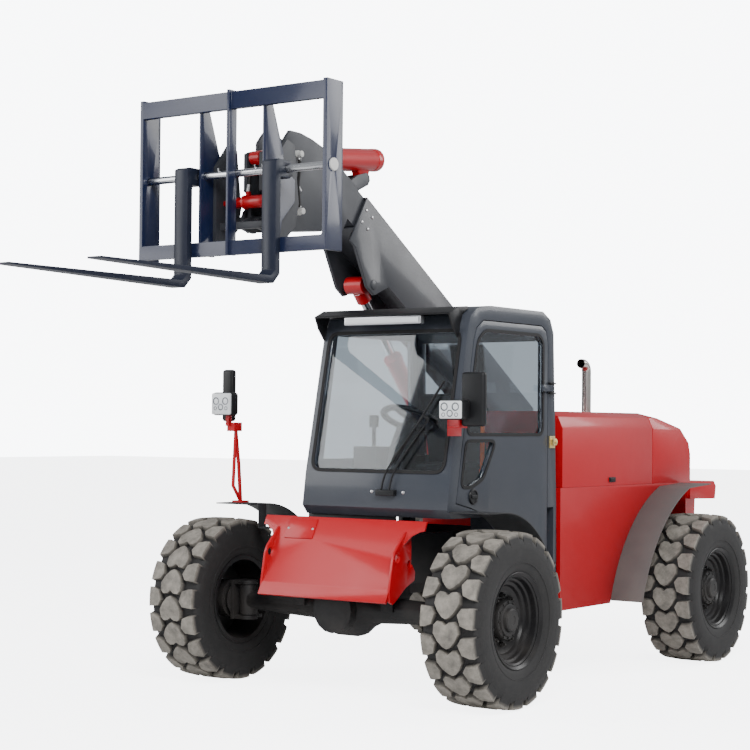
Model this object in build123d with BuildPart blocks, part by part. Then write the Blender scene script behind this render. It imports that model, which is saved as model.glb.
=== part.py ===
"""Telehandler with a two-stage boom, a fork carriage and four steered wheels.

Frame: +X is the machine's left, -Y is forward, +Z is up, the ground is Z = 0 and the origin is
under the middle of the whole machine. All sizes are in millimetres.
"""
import os
from math import cos, pi, radians, sin

from build123d import *

os.makedirs("parts", exist_ok=True)

# ---------------------------------------------------------------- driving sizes
WHEELBASE = 2850
TRACK = 2130
FRONT_AXLE_Y = -800  # the front axle's place along the machine
TYRE_RADIUS = 537.5
TYRE_WIDTH = 400
RIM_RADIUS = 268  # where the tyre's bead sits
RIM_WIDTH = 330
SIDE_X = 790  # the plane of the body's left side
CAB_RIGHT_X = -335  # the cab's right side
CAB_LEFT_X = 780  # the cab's left side
CAB_WALL = 40
CAB_FLOOR = 1130  # its underside
PANEL = 6  # sheet steel
GAP = 6  # round a moving panel
SEAT_GAP = 0.3  # between pieces that seat on each other

REAR_AXLE_Y = FRONT_AXLE_Y + WHEELBASE
AXLE_Z = TYRE_RADIUS

# the boom: its own plane has x along the boom and y square to it, from the pivot
BOOM_X = -520
BOOM_ANGLE = 32
BOOM_PIVOT_Y = FRONT_AXLE_Y + 2750
BOOM_PIVOT_Z = 1640
BOOM_WIDTH = 280
BOOM_TOP = 284  # above the pivot, square to the boom
BOOM_BOTTOM = -88
BOOM_LENGTH = 2620  # pivot to the outer boom's mouth
BOOM_TAIL = 210
BOOM_PLATE = 12
BOOM_RECESS = 105  # the belly plate stands this far up between the side plates
PIN_RADIUS = 40
PIN_PLAY = 0.6
TELESCOPE_TRAVEL = 1500

BOOM_COS = cos(radians(BOOM_ANGLE))
BOOM_SIN = sin(radians(BOOM_ANGLE))
BOOM_PLANE = Plane(
    origin=(BOOM_X, BOOM_PIVOT_Y, BOOM_PIVOT_Z), x_dir=(0, -BOOM_COS, BOOM_SIN), z_dir=(-1, 0, 0)
)


def boom_point(along, up):
    """The (y, z) place of a point given along and square to the boom."""
    return (
        BOOM_PIVOT_Y - along * BOOM_COS + up * BOOM_SIN,
        BOOM_PIVOT_Z + along * BOOM_SIN + up * BOOM_COS,
    )


def fore_aft(distance):
    """The y of a place given behind the front axle."""
    return FRONT_AXLE_Y + distance


# ---------------------------------------------------------------- helpers
def side_slab(points, x_from, x_to, mode=Mode.ADD):
    """A side-view outline of (distance behind the front axle, z), extruded across."""
    with BuildSketch(Plane.YZ.offset(x_from)) as outline:
        with BuildLine():
            Polyline(*[(fore_aft(y), z) for y, z in points], close=True)
        make_face()
    extrude(outline.sketch, amount=x_to - x_from, mode=mode)


def front_slab(points, y_from, y_to, mode=Mode.ADD):
    """A front-view outline of (x, z), extruded from one distance behind the axle to another."""
    with BuildSketch(Plane.XZ.offset(-fore_aft(y_from))) as outline:
        with BuildLine():
            Polyline(*points, close=True)
        make_face()
    extrude(outline.sketch, amount=y_from - y_to, mode=mode)


def box(x_from, x_to, y_from, y_to, z_from, z_to, mode=Mode.ADD):
    """A block between two corners, y counted behind the front axle."""
    centre = ((x_from + x_to) / 2, fore_aft((y_from + y_to) / 2), (z_from + z_to) / 2)
    with Locations(centre):
        Box(abs(x_to - x_from), abs(y_to - y_from), abs(z_to - z_from), mode=mode)


def cross_tube(x_from, x_to, y, z, radius, mode=Mode.ADD, sides=0):
    """A bar across the machine at an absolute (y, z), round, or with flat facets around radius."""
    with BuildSketch(Plane.YZ.offset(x_from)) as outline:
        with Locations((y, z)):
            if sides:
                RegularPolygon(radius, sides, major_radius=mode == Mode.ADD)
            else:
                Circle(radius)
    extrude(outline.sketch, amount=x_to - x_from, mode=mode)


def boom_slab(points, half_from, half_to, mode=Mode.ADD):
    """A boom-plane outline made into one slab on each side of the boom's middle."""
    for side in (-1, 1):
        with BuildSketch(BOOM_PLANE.offset(side * half_from)) as outline:
            with BuildLine():
                Polyline(*points, close=True)
            make_face()
        extrude(outline.sketch, amount=side * (half_to - half_from), mode=mode)


def boom_box(along_from, along_to, up_from, up_to, half, mode=Mode.ADD):
    """A block in the boom's plane, both sides of its middle."""
    with BuildSketch(BOOM_PLANE) as outline:
        with Locations(((along_from + along_to) / 2, (up_from + up_to) / 2)):
            Rectangle(along_to - along_from, up_to - up_from)
    extrude(outline.sketch, amount=half, both=True, mode=mode)


def turned(stations, sides, mode=Mode.ADD):
    """A form turned about the X axis in flat facets, from (x, radius) stations."""
    step = 2 * pi / sides
    rings = [
        [Vector(x, radius * cos(k * step), radius * sin(k * step)) for k in range(sides)]
        for x, radius in stations
    ]
    faces = [Face(Wire.make_polygon(rings[0])), Face(Wire.make_polygon(rings[-1]))]
    for ring, following in zip(rings, rings[1:]):
        for k in range(sides):
            after = (k + 1) % sides
            edge = [ring[k], ring[after], following[after], following[k]]
            faces.append(Face(Wire.make_polygon(edge)))
    add(Solid(Shell(faces)), mode=mode)


def post(x, y, z_from, z_to, radius, sides, mode=Mode.ADD):
    """An upright bar with flat facets at an absolute (x, y)."""
    with BuildSketch(Plane.XY.offset(z_from)) as outline:
        with Locations((x, y)):
            RegularPolygon(radius, sides)
    extrude(outline.sketch, amount=z_to - z_from, mode=mode)


# ---------------------------------------------------------------- wheels
BEAD_CLEARANCE = 0.4
BEAD_SIDES = 32
HUB_SIDES = 16
HUB_RADIUS = 125
SPINDLE_RADIUS = 60
SPINDLE_PLAY = 0.5
RIM_HALF = RIM_WIDTH / 2
LUGS = 18  # on each half of the tread
LUG_ROOT = TYRE_RADIUS - 62
LUG_BAR = (  # a lug seen from outside: across the tread, around it
    (6, -18), (6, 76), (186, 6), (186, -72),
)

with BuildPart() as lug:
    with BuildSketch(Plane.XY.offset(LUG_ROOT)):
        Polygon(*LUG_BAR, align=None)
    extrude(amount=TYRE_RADIUS - LUG_ROOT)
    with BuildSketch(Plane.YZ) as worn_round:
        RegularPolygon(
            TYRE_RADIUS, 2 * LUGS, major_radius=False, rotation=90 / LUGS
        )
    extrude(worn_round.sketch, amount=TYRE_WIDTH, mode=Mode.INTERSECT)

with BuildPart() as tyre:
    turned(
        (
            (-RIM_HALF, RIM_RADIUS + 24), (-TYRE_WIDTH / 2, 405), (-186, 492),
            (186, 492), (TYRE_WIDTH / 2, 405), (RIM_HALF, RIM_RADIUS + 24),
        ),
        BEAD_SIDES,
    )
    turned(
        ((-TYRE_WIDTH, RIM_RADIUS + BEAD_CLEARANCE), (TYRE_WIDTH, RIM_RADIUS + BEAD_CLEARANCE)),
        BEAD_SIDES, mode=Mode.SUBTRACT,
    )
    for n in range(LUGS):
        add(lug.part.rotate(Axis.X, 180 + n * 360 / LUGS))
        add(lug.part.rotate(Axis.Z, 180).rotate(Axis.X, 180 + (n + 0.5) * 360 / LUGS))

with BuildPart() as rim:
    turned(
        (
            (-RIM_HALF - 12, RIM_RADIUS + 20), (-RIM_HALF - 0.8, RIM_RADIUS + 22),
            (-RIM_HALF - 0.2, RIM_RADIUS), (RIM_HALF + 0.2, RIM_RADIUS),
            (RIM_HALF + 0.8, RIM_RADIUS + 22), (RIM_HALF + 12, RIM_RADIUS + 20),
        ),
        BEAD_SIDES,
    )
    turned(
        ((RIM_HALF + 13, RIM_RADIUS - 10), (90, RIM_RADIUS - 22), (70, 205), (60, 185)),
        BEAD_SIDES, mode=Mode.SUBTRACT,
    )
    turned(((-RIM_HALF - 13, RIM_RADIUS - 10), (40, RIM_RADIUS - 34)), BEAD_SIDES, mode=Mode.SUBTRACT)
    turned(((-100, HUB_RADIUS), (62, HUB_RADIUS)), HUB_SIDES)
    turned(((60, HUB_RADIUS), (104, HUB_RADIUS - 6), (118, HUB_RADIUS - 24)), HUB_SIDES)
    turned(((116, 72), (142, 64)), HUB_SIDES)
    cross_tube(
        -101, 20, 0, 0, SPINDLE_RADIUS + SPINDLE_PLAY, mode=Mode.SUBTRACT, sides=HUB_SIDES
    )

WHEELS = (  # name, side (+1 left), axle y
    ("front_left", 1, FRONT_AXLE_Y),
    ("front_right", -1, FRONT_AXLE_Y),
    ("rear_left", 1, REAR_AXLE_Y),
    ("rear_right", -1, REAR_AXLE_Y),
)
for place, side, axle_y in WHEELS:
    for kind, made in (("tyre", tyre), ("rim", rim)):
        piece = made.part if side > 0 else mirror(made.part, about=Plane.YZ)
        piece = piece.moved(Location((side * TRACK / 2, axle_y, AXLE_Z)))
        piece.label = f"{kind}_{place}"
        export_step(piece, f"parts/{piece.label}.step")

# ---------------------------------------------------------------- knuckles and axles
KINGPIN_X = 840
KINGPIN_RADIUS = 30
YOKE_HALF = 103  # half the height between a knuckle's arms
YOKE_ARM = 26
BEAM_RADIUS = 75
DIFF_RADIUS = 180
AXLE_SIDES = 20
AXLE_PAD_X = 345
RAIL_BOTTOM = 700
RAIL_TOP = 1010
RAIL_HALF_X = 345
RAIL_THICK = 30
FORE = TRACK / 2 - KINGPIN_X  # from the kingpin out to the wheel's middle plane

with BuildPart() as knuckle:
    for end in (-1, 1):
        low = end * (YOKE_HALF + YOKE_ARM / 2) - YOKE_ARM / 2
        post(0, 0, low, low + YOKE_ARM, 64, 16)
        with Locations((45, 0, low + YOKE_ARM / 2)):
            Box(90, 124, YOKE_ARM)
        with BuildSketch(Plane.XY.offset(low)) as bore:
            RegularPolygon(KINGPIN_RADIUS + PIN_PLAY, 16, major_radius=False)
        extrude(bore.sketch, amount=YOKE_ARM, mode=Mode.SUBTRACT)
    with Locations((84, 0, 0)):
        Box(22, 150, 2 * (YOKE_HALF + YOKE_ARM))
    turned(((94, SPINDLE_RADIUS + 52), (FORE - 105, SPINDLE_RADIUS + 36)), HUB_SIDES)
    cross_tube(94, FORE + 15, 0, 0, SPINDLE_RADIUS)
    with Locations((20, 95, -YOKE_HALF - YOKE_ARM / 2)):
        Box(50, 90, YOKE_ARM)

for place, side, axle_y in WHEELS:
    piece = knuckle.part if side > 0 else mirror(knuckle.part, about=Plane.YZ)
    piece = piece.moved(Location((side * KINGPIN_X, axle_y, AXLE_Z)))
    piece.label = f"knuckle_{place}"
    export_step(piece, f"parts/{piece.label}.step")

with BuildPart() as axle:
    beam_end = KINGPIN_X - 30
    turned(
        (
            (-beam_end, BEAM_RADIUS - 14), (-240, BEAM_RADIUS + 12), (-170, 120), (-110, 168),
            (-60, DIFF_RADIUS), (60, DIFF_RADIUS), (110, 168), (170, 120),
            (240, BEAM_RADIUS + 12), (beam_end, BEAM_RADIUS - 14),
        ),
        AXLE_SIDES,
    )
    for side in (-1, 1):
        x = side * KINGPIN_X
        post(x, 0, 5 - YOKE_HALF, YOKE_HALF - 5, 60, 16)
        post(x, 0, -YOKE_HALF - YOKE_ARM, 0, KINGPIN_RADIUS, 16)
        with Locations((x, 0, (YOKE_HALF + YOKE_ARM) / 2)):
            Cylinder(KINGPIN_RADIUS, YOKE_HALF + YOKE_ARM)
        with Locations((side * AXLE_PAD_X, 0, (RAIL_BOTTOM - AXLE_Z) / 2)):
            Box(90, 190, RAIL_BOTTOM - AXLE_Z - 2 * SEAT_GAP)
    with BuildSketch(Plane.XZ.offset(-90)) as nose:
        RegularPolygon(84, 12)
    extrude(nose.sketch, amount=-165)
    with BuildSketch(Plane.XZ.offset(90)) as cover:
        RegularPolygon(148, 16)
    extrude(cover.sketch, amount=112)

for name, axle_y in (("front_axle", FRONT_AXLE_Y), ("rear_axle", REAR_AXLE_Y)):
    piece = axle.part.moved(Location((0, axle_y, AXLE_Z)))
    if name == "rear_axle":
        piece = axle.part.rotate(Axis.Z, 180).moved(Location((0, axle_y, AXLE_Z)))
    piece.label = name
    export_step(piece, f"parts/{name}.step")

# ---------------------------------------------------------------- chassis
LIFT_BASE_ALONG = (2310, 950)  # the lift cylinder's foot: behind the axle, z
TOWER_PLAY = 16
TOWER_PLATE = 25
TOWER_FLOOR = 850
TOWER_FLOOR_X = -635  # the floor's outer edge where the steered tyre swings in
WHEEL_ROOM_TOP = 1005  # the outer tower plate stays above this there
TOWER_HALF = BOOM_WIDTH / 2 + TOWER_PLAY + TOWER_PLATE  # from the boom's middle
CHASSIS_TAIL = 3480

with BuildPart() as chassis_frame:
    rail = [
        (-60, RAIL_BOTTOM), (-60, 900), (60, RAIL_TOP), (CHASSIS_TAIL - 120, RAIL_TOP),
        (CHASSIS_TAIL, RAIL_TOP - 120), (CHASSIS_TAIL, RAIL_BOTTOM),
    ]
    for side in (-1, 1):
        inner = side * (RAIL_HALF_X - RAIL_THICK / 2)
        side_slab(rail, inner, inner + side * RAIL_THICK)
    for y_from, y_to, z_from, z_to in (
        (-60, -30, AXLE_Z + DIFF_RADIUS + 20, 900),
        (0, 8, RAIL_TOP - 65, CAB_FLOOR - SEAT_GAP),
        (560, 620, RAIL_BOTTOM + 20, RAIL_TOP - 60),
        (1500, 1560, RAIL_BOTTOM + 20, RAIL_TOP - 60),
        (2340, 2400, RAIL_BOTTOM + 20, RAIL_TOP - 60),
        (CHASSIS_TAIL - 30, CHASSIS_TAIL, RAIL_BOTTOM, RAIL_TOP - 120),
    ):
        box(-RAIL_HALF_X, RAIL_HALF_X, y_from, y_to, z_from, z_to)
    for x in (-320, 330):
        for y in (170, 1070):
            box(x - 30, x + 30, y - 30, y + 30, RAIL_TOP - 1, CAB_FLOOR - SEAT_GAP)
chassis_frame.part.label = "chassis_frame"
export_step(chassis_frame.part, "parts/chassis_frame.step")

with BuildPart() as boom_tower:
    rail_face = -RAIL_HALF_X - RAIL_THICK / 2 - SEAT_GAP
    tower_inner = BOOM_WIDTH / 2 + TOWER_PLAY
    tower = [
        (2160, TOWER_FLOOR), (2200, 1120), (2560, 1740), (2660, 1800), (2840, 1800),
        (2960, 1700), (3080, 1120), (3080, TOWER_FLOOR),
    ]
    for side in (-1, 1):
        near = BOOM_X + side * tower_inner
        side_slab(tower, near, near + side * TOWER_PLATE)
    box(TOWER_FLOOR_X, rail_face, 2160, 3080, TOWER_FLOOR, TOWER_FLOOR + 25)
    box(BOOM_X - TOWER_HALF, TOWER_FLOOR_X, 2720, 3080, TOWER_FLOOR, TOWER_FLOOR + 25)
    wheel_room = [(2100, 800), (2100, WHEEL_ROOM_TOP), (2720, WHEEL_ROOM_TOP), (2720, 800)]
    side_slab(wheel_room, BOOM_X - TOWER_HALF - 1, TOWER_FLOOR_X - 1, mode=Mode.SUBTRACT)
    box(BOOM_X - TOWER_HALF, BOOM_X + TOWER_HALF, 3020, 3060, TOWER_FLOOR + 25, 1250)
    box(rail_face, 0, 2100, 3100, 800, RAIL_TOP + SEAT_GAP, mode=Mode.SUBTRACT)
    cross_tube(
        BOOM_X - TOWER_HALF, BOOM_X + TOWER_HALF, BOOM_PIVOT_Y, BOOM_PIVOT_Z, PIN_RADIUS
    )
    lift_y, lift_z = fore_aft(LIFT_BASE_ALONG[0]), LIFT_BASE_ALONG[1]
    for side in (-1, 1):
        near = BOOM_X + side * 62
        with BuildSketch(Plane.YZ.offset(near)):
            with Locations((lift_y, lift_z)):
                RegularPolygon(62, 16)
            with Locations((lift_y, lift_z - 50)):
                Rectangle(124, 100)
        extrude(amount=side * 22)
    cross_tube(BOOM_X - 84, BOOM_X + 84, lift_y, lift_z, 30)
boom_tower.part.label = "boom_tower"
export_step(boom_tower.part, "parts/boom_tower.step")

# ---------------------------------------------------------------- front plate
PLATE_TOP_HALF = 630
PLATE_EAR_X = 498  # an ear's middle
EAR_PLATE = 16
EAR_HOLE = 26
TIE_DOWN = (-212, 883)  # behind the front axle, z

with BuildPart() as front_plate:
    profile = [(-62, 1110), (-76, 1110), (-290, 700), (-330, 620), (-316, 613), (-272, 694)]
    side_slab(profile, -PLATE_TOP_HALF, PLATE_TOP_HALF)
    for side in (-1, 1):
        edge = [
            (PLATE_TOP_HALF * 1.1, 1062), (600, 1046), (548, 1018), (PLATE_EAR_X + 12, 965),
            (PLATE_EAR_X, 930), (PLATE_EAR_X, 600), (PLATE_TOP_HALF * 1.1, 600),
        ]
        front_slab([(side * x, z) for x, z in edge], -400, 0, mode=Mode.SUBTRACT)
        ear = [
            (-62, 1052), (-84, 1058), (-130, 1032), (-238, 925), (-262, 872), (-296, 690),
            (-292, 622), (-262, 606), (-232, 620), (-120, 700), (-24, 740), (-16, 790), (-62, 850),
        ]
        ear_x = side * (PLATE_EAR_X - EAR_PLATE / 2)
        side_slab(ear, ear_x, ear_x + side * EAR_PLATE)
        hole_x = (ear_x, ear_x + side * EAR_PLATE)
        cross_tube(*hole_x, fore_aft(TIE_DOWN[0]), TIE_DOWN[1], EAR_HOLE, mode=Mode.SUBTRACT)
        cross_tube(*hole_x, fore_aft(-79), 843, EAR_HOLE, mode=Mode.SUBTRACT, sides=12)
        rail_side = RAIL_HALF_X + RAIL_THICK / 2 + SEAT_GAP
        box(side * rail_side, side * PLATE_EAR_X, -62, -50, 760, 1000)
    side_slab([(-80, 1095), (-91, 1095), (-154, 975), (-140, 975)], -430, -200)
front_plate.part.label = "front_plate"
export_step(front_plate.part, "parts/front_plate.step")

# ---------------------------------------------------------------- cab
CAB_BOTTOM = 475
CAB_REAR = 1270
STEP_FRONT = 755  # the stair well by the door
STEP_X = 430
FLOOR_TOP = CAB_FLOOR + 30

cab_outline = [
    (-80, 1185), (-50, 1395), (150, 2330), (180, 2400), (250, 2445), (420, 2470),
    (1080, 2470), (1180, 2420), (1225, 2330), (CAB_REAR, 1185), (CAB_REAR, CAB_FLOOR),
    (-30, CAB_FLOOR),
]
cab_hollow = [
    (-40, 1200), (-8, 1395), (186, 2310), (230, 2395), (420, 2430),
    (1070, 2430), (1150, 2390), (1185, 2320), (1230, 1215), (1230, FLOOR_TOP),
    (-20, FLOOR_TOP),
]
door_outline = [
    (25, 1225), (215, 2240), (250, 2320), (330, 2370), (1060, 2370), (1120, 2340),
    (1146, 2260), (1146, 520), (790, 520), (770, 700), (700, 860), (580, 1010),
    (400, 1130), (200, 1190),
]


with BuildPart() as cab_frame:
    side_slab(cab_outline, CAB_RIGHT_X, CAB_LEFT_X)
    side_slab(cab_hollow, CAB_RIGHT_X + CAB_WALL, CAB_LEFT_X - CAB_WALL, mode=Mode.SUBTRACT)
    well = [
        (CAB_REAR, CAB_FLOOR + 5), (CAB_REAR, CAB_BOTTOM), (STEP_FRONT, CAB_BOTTOM),
        (STEP_FRONT - 10, CAB_FLOOR + 5),
    ]
    side_slab(well, STEP_X, CAB_LEFT_X)
    well_hollow = [
        (CAB_REAR - 40, FLOOR_TOP + 5), (CAB_REAR - 40, CAB_BOTTOM + 20),
        (STEP_FRONT + 25, CAB_BOTTOM + 20), (STEP_FRONT + 25, FLOOR_TOP + 5),
    ]
    side_slab(well_hollow, STEP_X + 20, CAB_LEFT_X, mode=Mode.SUBTRACT)
    box(STEP_X + 20, CAB_LEFT_X - CAB_WALL - 8, STEP_FRONT + 10, CAB_REAR - 20, 800, 820)
    with BuildSketch(Plane.YZ.offset(CAB_LEFT_X - CAB_WALL - 1)) as opening:
        with BuildLine():
            Polyline(*[(fore_aft(y), z) for y, z in door_outline], close=True)
        make_face()
        offset(amount=GAP, kind=Kind.INTERSECTION)
    extrude(opening.sketch, amount=CAB_WALL + 2, mode=Mode.SUBTRACT)
    front_window = [(-200, 1425), (300, 1425), (300, 2290), (-200, 2290)]
    side_slab(front_window, CAB_RIGHT_X + 60, CAB_LEFT_X - 60, mode=Mode.SUBTRACT)
    rear_window = [(1160, 1500), (1300, 1500), (1300, 2280), (1160, 2280)]
    side_slab(rear_window, CAB_RIGHT_X + 80, CAB_LEFT_X - 80, mode=Mode.SUBTRACT)
    right_window = [(90, 1480), (240, 2290), (1110, 2290), (1140, 1480)]
    side_slab(right_window, CAB_RIGHT_X - 1, CAB_RIGHT_X + CAB_WALL + 1, mode=Mode.SUBTRACT)
cab_frame.part.label = "cab_frame"
export_step(cab_frame.part, "parts/cab_frame.step")

# the door, its two windows and its hinges
HINGE_X = CAB_LEFT_X + 18
HINGE_Y = 1160
HINGE_Z = (760, 1960)
HINGE_PIN = 9
door_window = [(150, 1660), (268, 2235), (350, 2300), (1030, 2300), (1076, 2260), (1076, 1660)]
low_window = [(86, 1330), (140, 1600), (470, 1600), (330, 1380), (200, 1330)]

with BuildPart() as cab_door:
    side_slab(door_outline, CAB_LEFT_X - CAB_WALL, CAB_LEFT_X)
    side_slab(door_window, CAB_LEFT_X - CAB_WALL - 1, CAB_LEFT_X + 1, mode=Mode.SUBTRACT)
    side_slab(low_window, CAB_LEFT_X - CAB_WALL - 1, CAB_LEFT_X + 1, mode=Mode.SUBTRACT)
    for hinge_z in HINGE_Z:
        box(CAB_LEFT_X, HINGE_X + 6, 1050, HINGE_Y - 8, hinge_z - 22, hinge_z + 22)
        knuckle_ends = (hinge_z - 22, hinge_z + 22)
        post(HINGE_X, fore_aft(HINGE_Y), *knuckle_ends, 17, 12)
        with BuildSketch(Plane.XY.offset(knuckle_ends[0])) as bore:
            with Locations((HINGE_X, fore_aft(HINGE_Y))):
                RegularPolygon(HINGE_PIN + PIN_PLAY, 12, major_radius=False)
        extrude(bore.sketch, amount=44, mode=Mode.SUBTRACT)
cab_door.part.label = "cab_door"
export_step(cab_door.part, "parts/cab_door.step")

with BuildPart() as door_hinges:
    for hinge_z in HINGE_Z:
        with Locations((HINGE_X, fore_aft(HINGE_Y), hinge_z)):
            Cylinder(HINGE_PIN, 76)
        for side in (-1, 1):
            low = hinge_z + side * 33 - 6
            post(HINGE_X, fore_aft(HINGE_Y), low, low + 12, 17, 12)
            box(CAB_LEFT_X + SEAT_GAP, HINGE_X + 6, HINGE_Y, HINGE_Y + 60, low, low + 12)
        box(
            CAB_LEFT_X + SEAT_GAP, CAB_LEFT_X + 10, HINGE_Y + 30, HINGE_Y + 60,
            hinge_z - 39, hinge_z + 39,
        )
door_hinges.part.label = "door_hinges"
export_step(door_hinges.part, "parts/door_hinges.step")

GLASS = 6
PANE_PLAY = 0.3
with BuildPart() as door_glass:
    for window in (door_window, low_window):
        with BuildSketch(Plane.YZ.offset(CAB_LEFT_X - 20)) as pane:
            with BuildLine():
                Polyline(*[(fore_aft(y), z) for y, z in window], close=True)
            make_face()
            offset(amount=-PANE_PLAY, kind=Kind.INTERSECTION)
        extrude(pane.sketch, amount=GLASS)
door_glass.part.label = "door_glass"
export_step(door_glass.part, "parts/door_glass.step")

LEAN = 200 / 935  # how far the windscreen leans back for each mm of height
with BuildPart() as cab_glass:
    low, high = 1425 + PANE_PLAY, 2290 - PANE_PLAY
    foot = -50 + (low - 1395) * LEAN + 16
    top = -50 + (high - 1395) * LEAN + 16
    screen = [(foot, low), (foot + GLASS, low), (top + GLASS, high), (top, high)]
    side_slab(screen, CAB_RIGHT_X + 60 + PANE_PLAY, CAB_LEFT_X - 60 - PANE_PLAY)
    with BuildSketch(Plane.YZ.offset(CAB_RIGHT_X + 14)) as pane:
        with BuildLine():
            Polyline(*[(fore_aft(y), z) for y, z in right_window], close=True)
        make_face()
        offset(amount=-PANE_PLAY, kind=Kind.INTERSECTION)
    extrude(pane.sketch, amount=GLASS)
    low, high = 1500 + PANE_PLAY, 2280 - PANE_PLAY
    rear = [(1246, low), (1246 + GLASS, low), (1222 + GLASS, high), (1222, high)]
    side_slab(rear, CAB_RIGHT_X + 80 + PANE_PLAY, CAB_LEFT_X - 80 - PANE_PLAY)
cab_glass.part.label = "cab_glass"
export_step(cab_glass.part, "parts/cab_glass.step")

with BuildPart() as visor:
    shade = [
        (182, 2408.4), (246, 2446.4), (236, 2459), (120, 2449), (25, 2409), (22, 2397.4),
        (150, 2417.4),
    ]
    side_slab(shade, CAB_RIGHT_X + 5, CAB_LEFT_X - 60)
    for x in (CAB_RIGHT_X + 5, CAB_LEFT_X - 72):
        cheek = [(24, 2401), (60, 2328), (128, 2253), (152, 2348), (178, 2406), (150, 2421)]
        side_slab(cheek, x, x + 12)
visor.part.label = "visor"
export_step(visor.part, "parts/visor.step")

with BuildPart() as light_bar:
    box(-95, 500, 30, 78, 2345, 2398.3)
light_bar.part.label = "light_bar"
export_step(light_bar.part, "parts/light_bar.step")

# ---------------------------------------------------------------- inside the cab
SEAT_X = 215
with BuildPart() as seat:
    box(SEAT_X - 170, SEAT_X + 170, 560, 900, FLOOR_TOP + SEAT_GAP, FLOOR_TOP + 190)
    cushion = [(500, 1380), (490, 1430), (560, 1470), (930, 1440), (940, 1350), (520, 1350)]
    side_slab(cushion, SEAT_X - 235, SEAT_X + 235)
    back = [(860, 1440), (930, 1420), (1060, 1950), (1040, 2000), (990, 2000), (960, 1940)]
    side_slab(back, SEAT_X - 215, SEAT_X + 215)
    head = [(1002, 2000), (1040, 1990), (1085, 2180), (1025, 2190)]
    side_slab(head, SEAT_X - 120, SEAT_X + 120)
seat.part.label = "seat"
export_step(seat.part, "parts/seat.step")

with BuildPart() as controls:
    column = [
        (90, FLOOR_TOP + SEAT_GAP), (300, FLOOR_TOP + SEAT_GAP), (330, 1700), (300, 1720),
        (200, 1560),
    ]
    side_slab(column, SEAT_X - 60, SEAT_X + 60)
    wheel_plane = Plane(origin=(SEAT_X, fore_aft(345), 1745), z_dir=(0, 0.42, 0.9))
    with BuildSketch(wheel_plane) as ring:
        RegularPolygon(190, 16)
        RegularPolygon(160, 16, mode=Mode.SUBTRACT)
        Rectangle(350, 44)
    extrude(ring.sketch, amount=14, both=True)
    with BuildSketch(wheel_plane.offset(-60)) as boss:
        RegularPolygon(38, 10)
    extrude(boss.sketch, amount=70)
    box(-290, -100, 420, 1000, FLOOR_TOP + SEAT_GAP, 1500)
    box(-290, -100, 420, 700, 1500, 1560)
    post(-195, fore_aft(520), 1550, 1700, 14, 8)
    post(-195, fore_aft(520), 1690, 1770, 32, 8)
controls.part.label = "controls"
export_step(controls.part, "parts/controls.step")

# ---------------------------------------------------------------- fenders
FENDER_T = 8
FENDER_OUT = 1080
REACH_X = 776  # the right fender's leg, down to the rail
with BuildPart() as front_fenders:
    for side in (-1, 1):
        with BuildSketch(Plane.YZ.offset(side * (CAB_LEFT_X + SEAT_GAP))) as arch:
            with BuildLine():
                Line((fore_aft(-60), 1172), (fore_aft(120), 1172))
                ThreePointArc(
                    (fore_aft(120), 1172), (fore_aft(505), 1035), (fore_aft(705), 770)
                )
            trace(line_width=FENDER_T)
        extrude(arch.sketch, amount=side * (FENDER_OUT - CAB_LEFT_X))
    box(-REACH_X, -REACH_X - 6, 20, 100, RAIL_TOP + SEAT_GAP, 1170)
    box(-REACH_X, -RAIL_HALF_X + 15, 20, 100, RAIL_TOP + SEAT_GAP, RAIL_TOP + 10)
front_fenders.part.label = "front_fenders"
export_step(front_fenders.part, "parts/front_fenders.step")

REAR_FENDER_OUT = 1040
REAR_ARC = [(2040, 480), (2300, 930), (2800, 1265)]  # foot, middle and top, behind the front axle
REAR_FENDER_BACK = (3160, 1285)


def rear_arc():
    """The rear fender's arc as a line in a side-view sketch."""
    return ThreePointArc(*[(fore_aft(y), z) for y, z in REAR_ARC])


with BuildPart() as rear_fenders:
    for side in (-1, 1):
        with BuildSketch(Plane.YZ.offset(side * (SIDE_X + SEAT_GAP))) as arch:
            with BuildLine():
                arc = rear_arc()
                Line(arc @ 1, (fore_aft(REAR_FENDER_BACK[0]), REAR_FENDER_BACK[1]))
            trace(line_width=FENDER_T)
        extrude(arch.sketch, amount=side * (REAR_FENDER_OUT - SIDE_X))
    box(-SIDE_X - 5, BOOM_X - TOWER_HALF - SEAT_GAP, 2810, 3000, 1258, 1278)
rear_fenders.part.label = "rear_fenders"
export_step(rear_fenders.part, "parts/rear_fenders.step")

# ---------------------------------------------------------------- rear body
HOOD_FRONT = 1335
HOOD_SEAM = 2690
HOOD_REAR = 3330
HOOD_SPLIT = 1290
HOOD_RIGHT_X = -325
HOOD_TOP = 1810
HOOD_ROUND = 120
BODY_BOTTOM = 462

WALL_X = HOOD_RIGHT_X + 20  # the fixed wall under the hood's hinge
HINGE_TOP = HOOD_TOP - PANEL
LINER_X = 435  # the wheel arch's inner edge


def hood_shape(inset, low):
    """The hood's cross-section, set in by its thickness on the top and the left side."""
    top, out = HOOD_TOP - inset, SIDE_X - inset
    right = HOOD_RIGHT_X - inset
    return [
        (right, low), (right, top), (SIDE_X - HOOD_ROUND, top),
        (out - HOOD_ROUND * 0.3, top - HOOD_ROUND * 0.3), (out, HOOD_TOP - HOOD_ROUND), (out, low),
    ]


with BuildPart() as hood:
    front_slab(hood_shape(0, HOOD_SPLIT), HOOD_FRONT, HOOD_SEAM - GAP / 2)
    front_slab(
        hood_shape(PANEL, HOOD_SPLIT - 1), HOOD_FRONT + PANEL, HOOD_SEAM, mode=Mode.SUBTRACT
    )
hood.part.label = "hood"
export_step(hood.part, "parts/hood.step")

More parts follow.
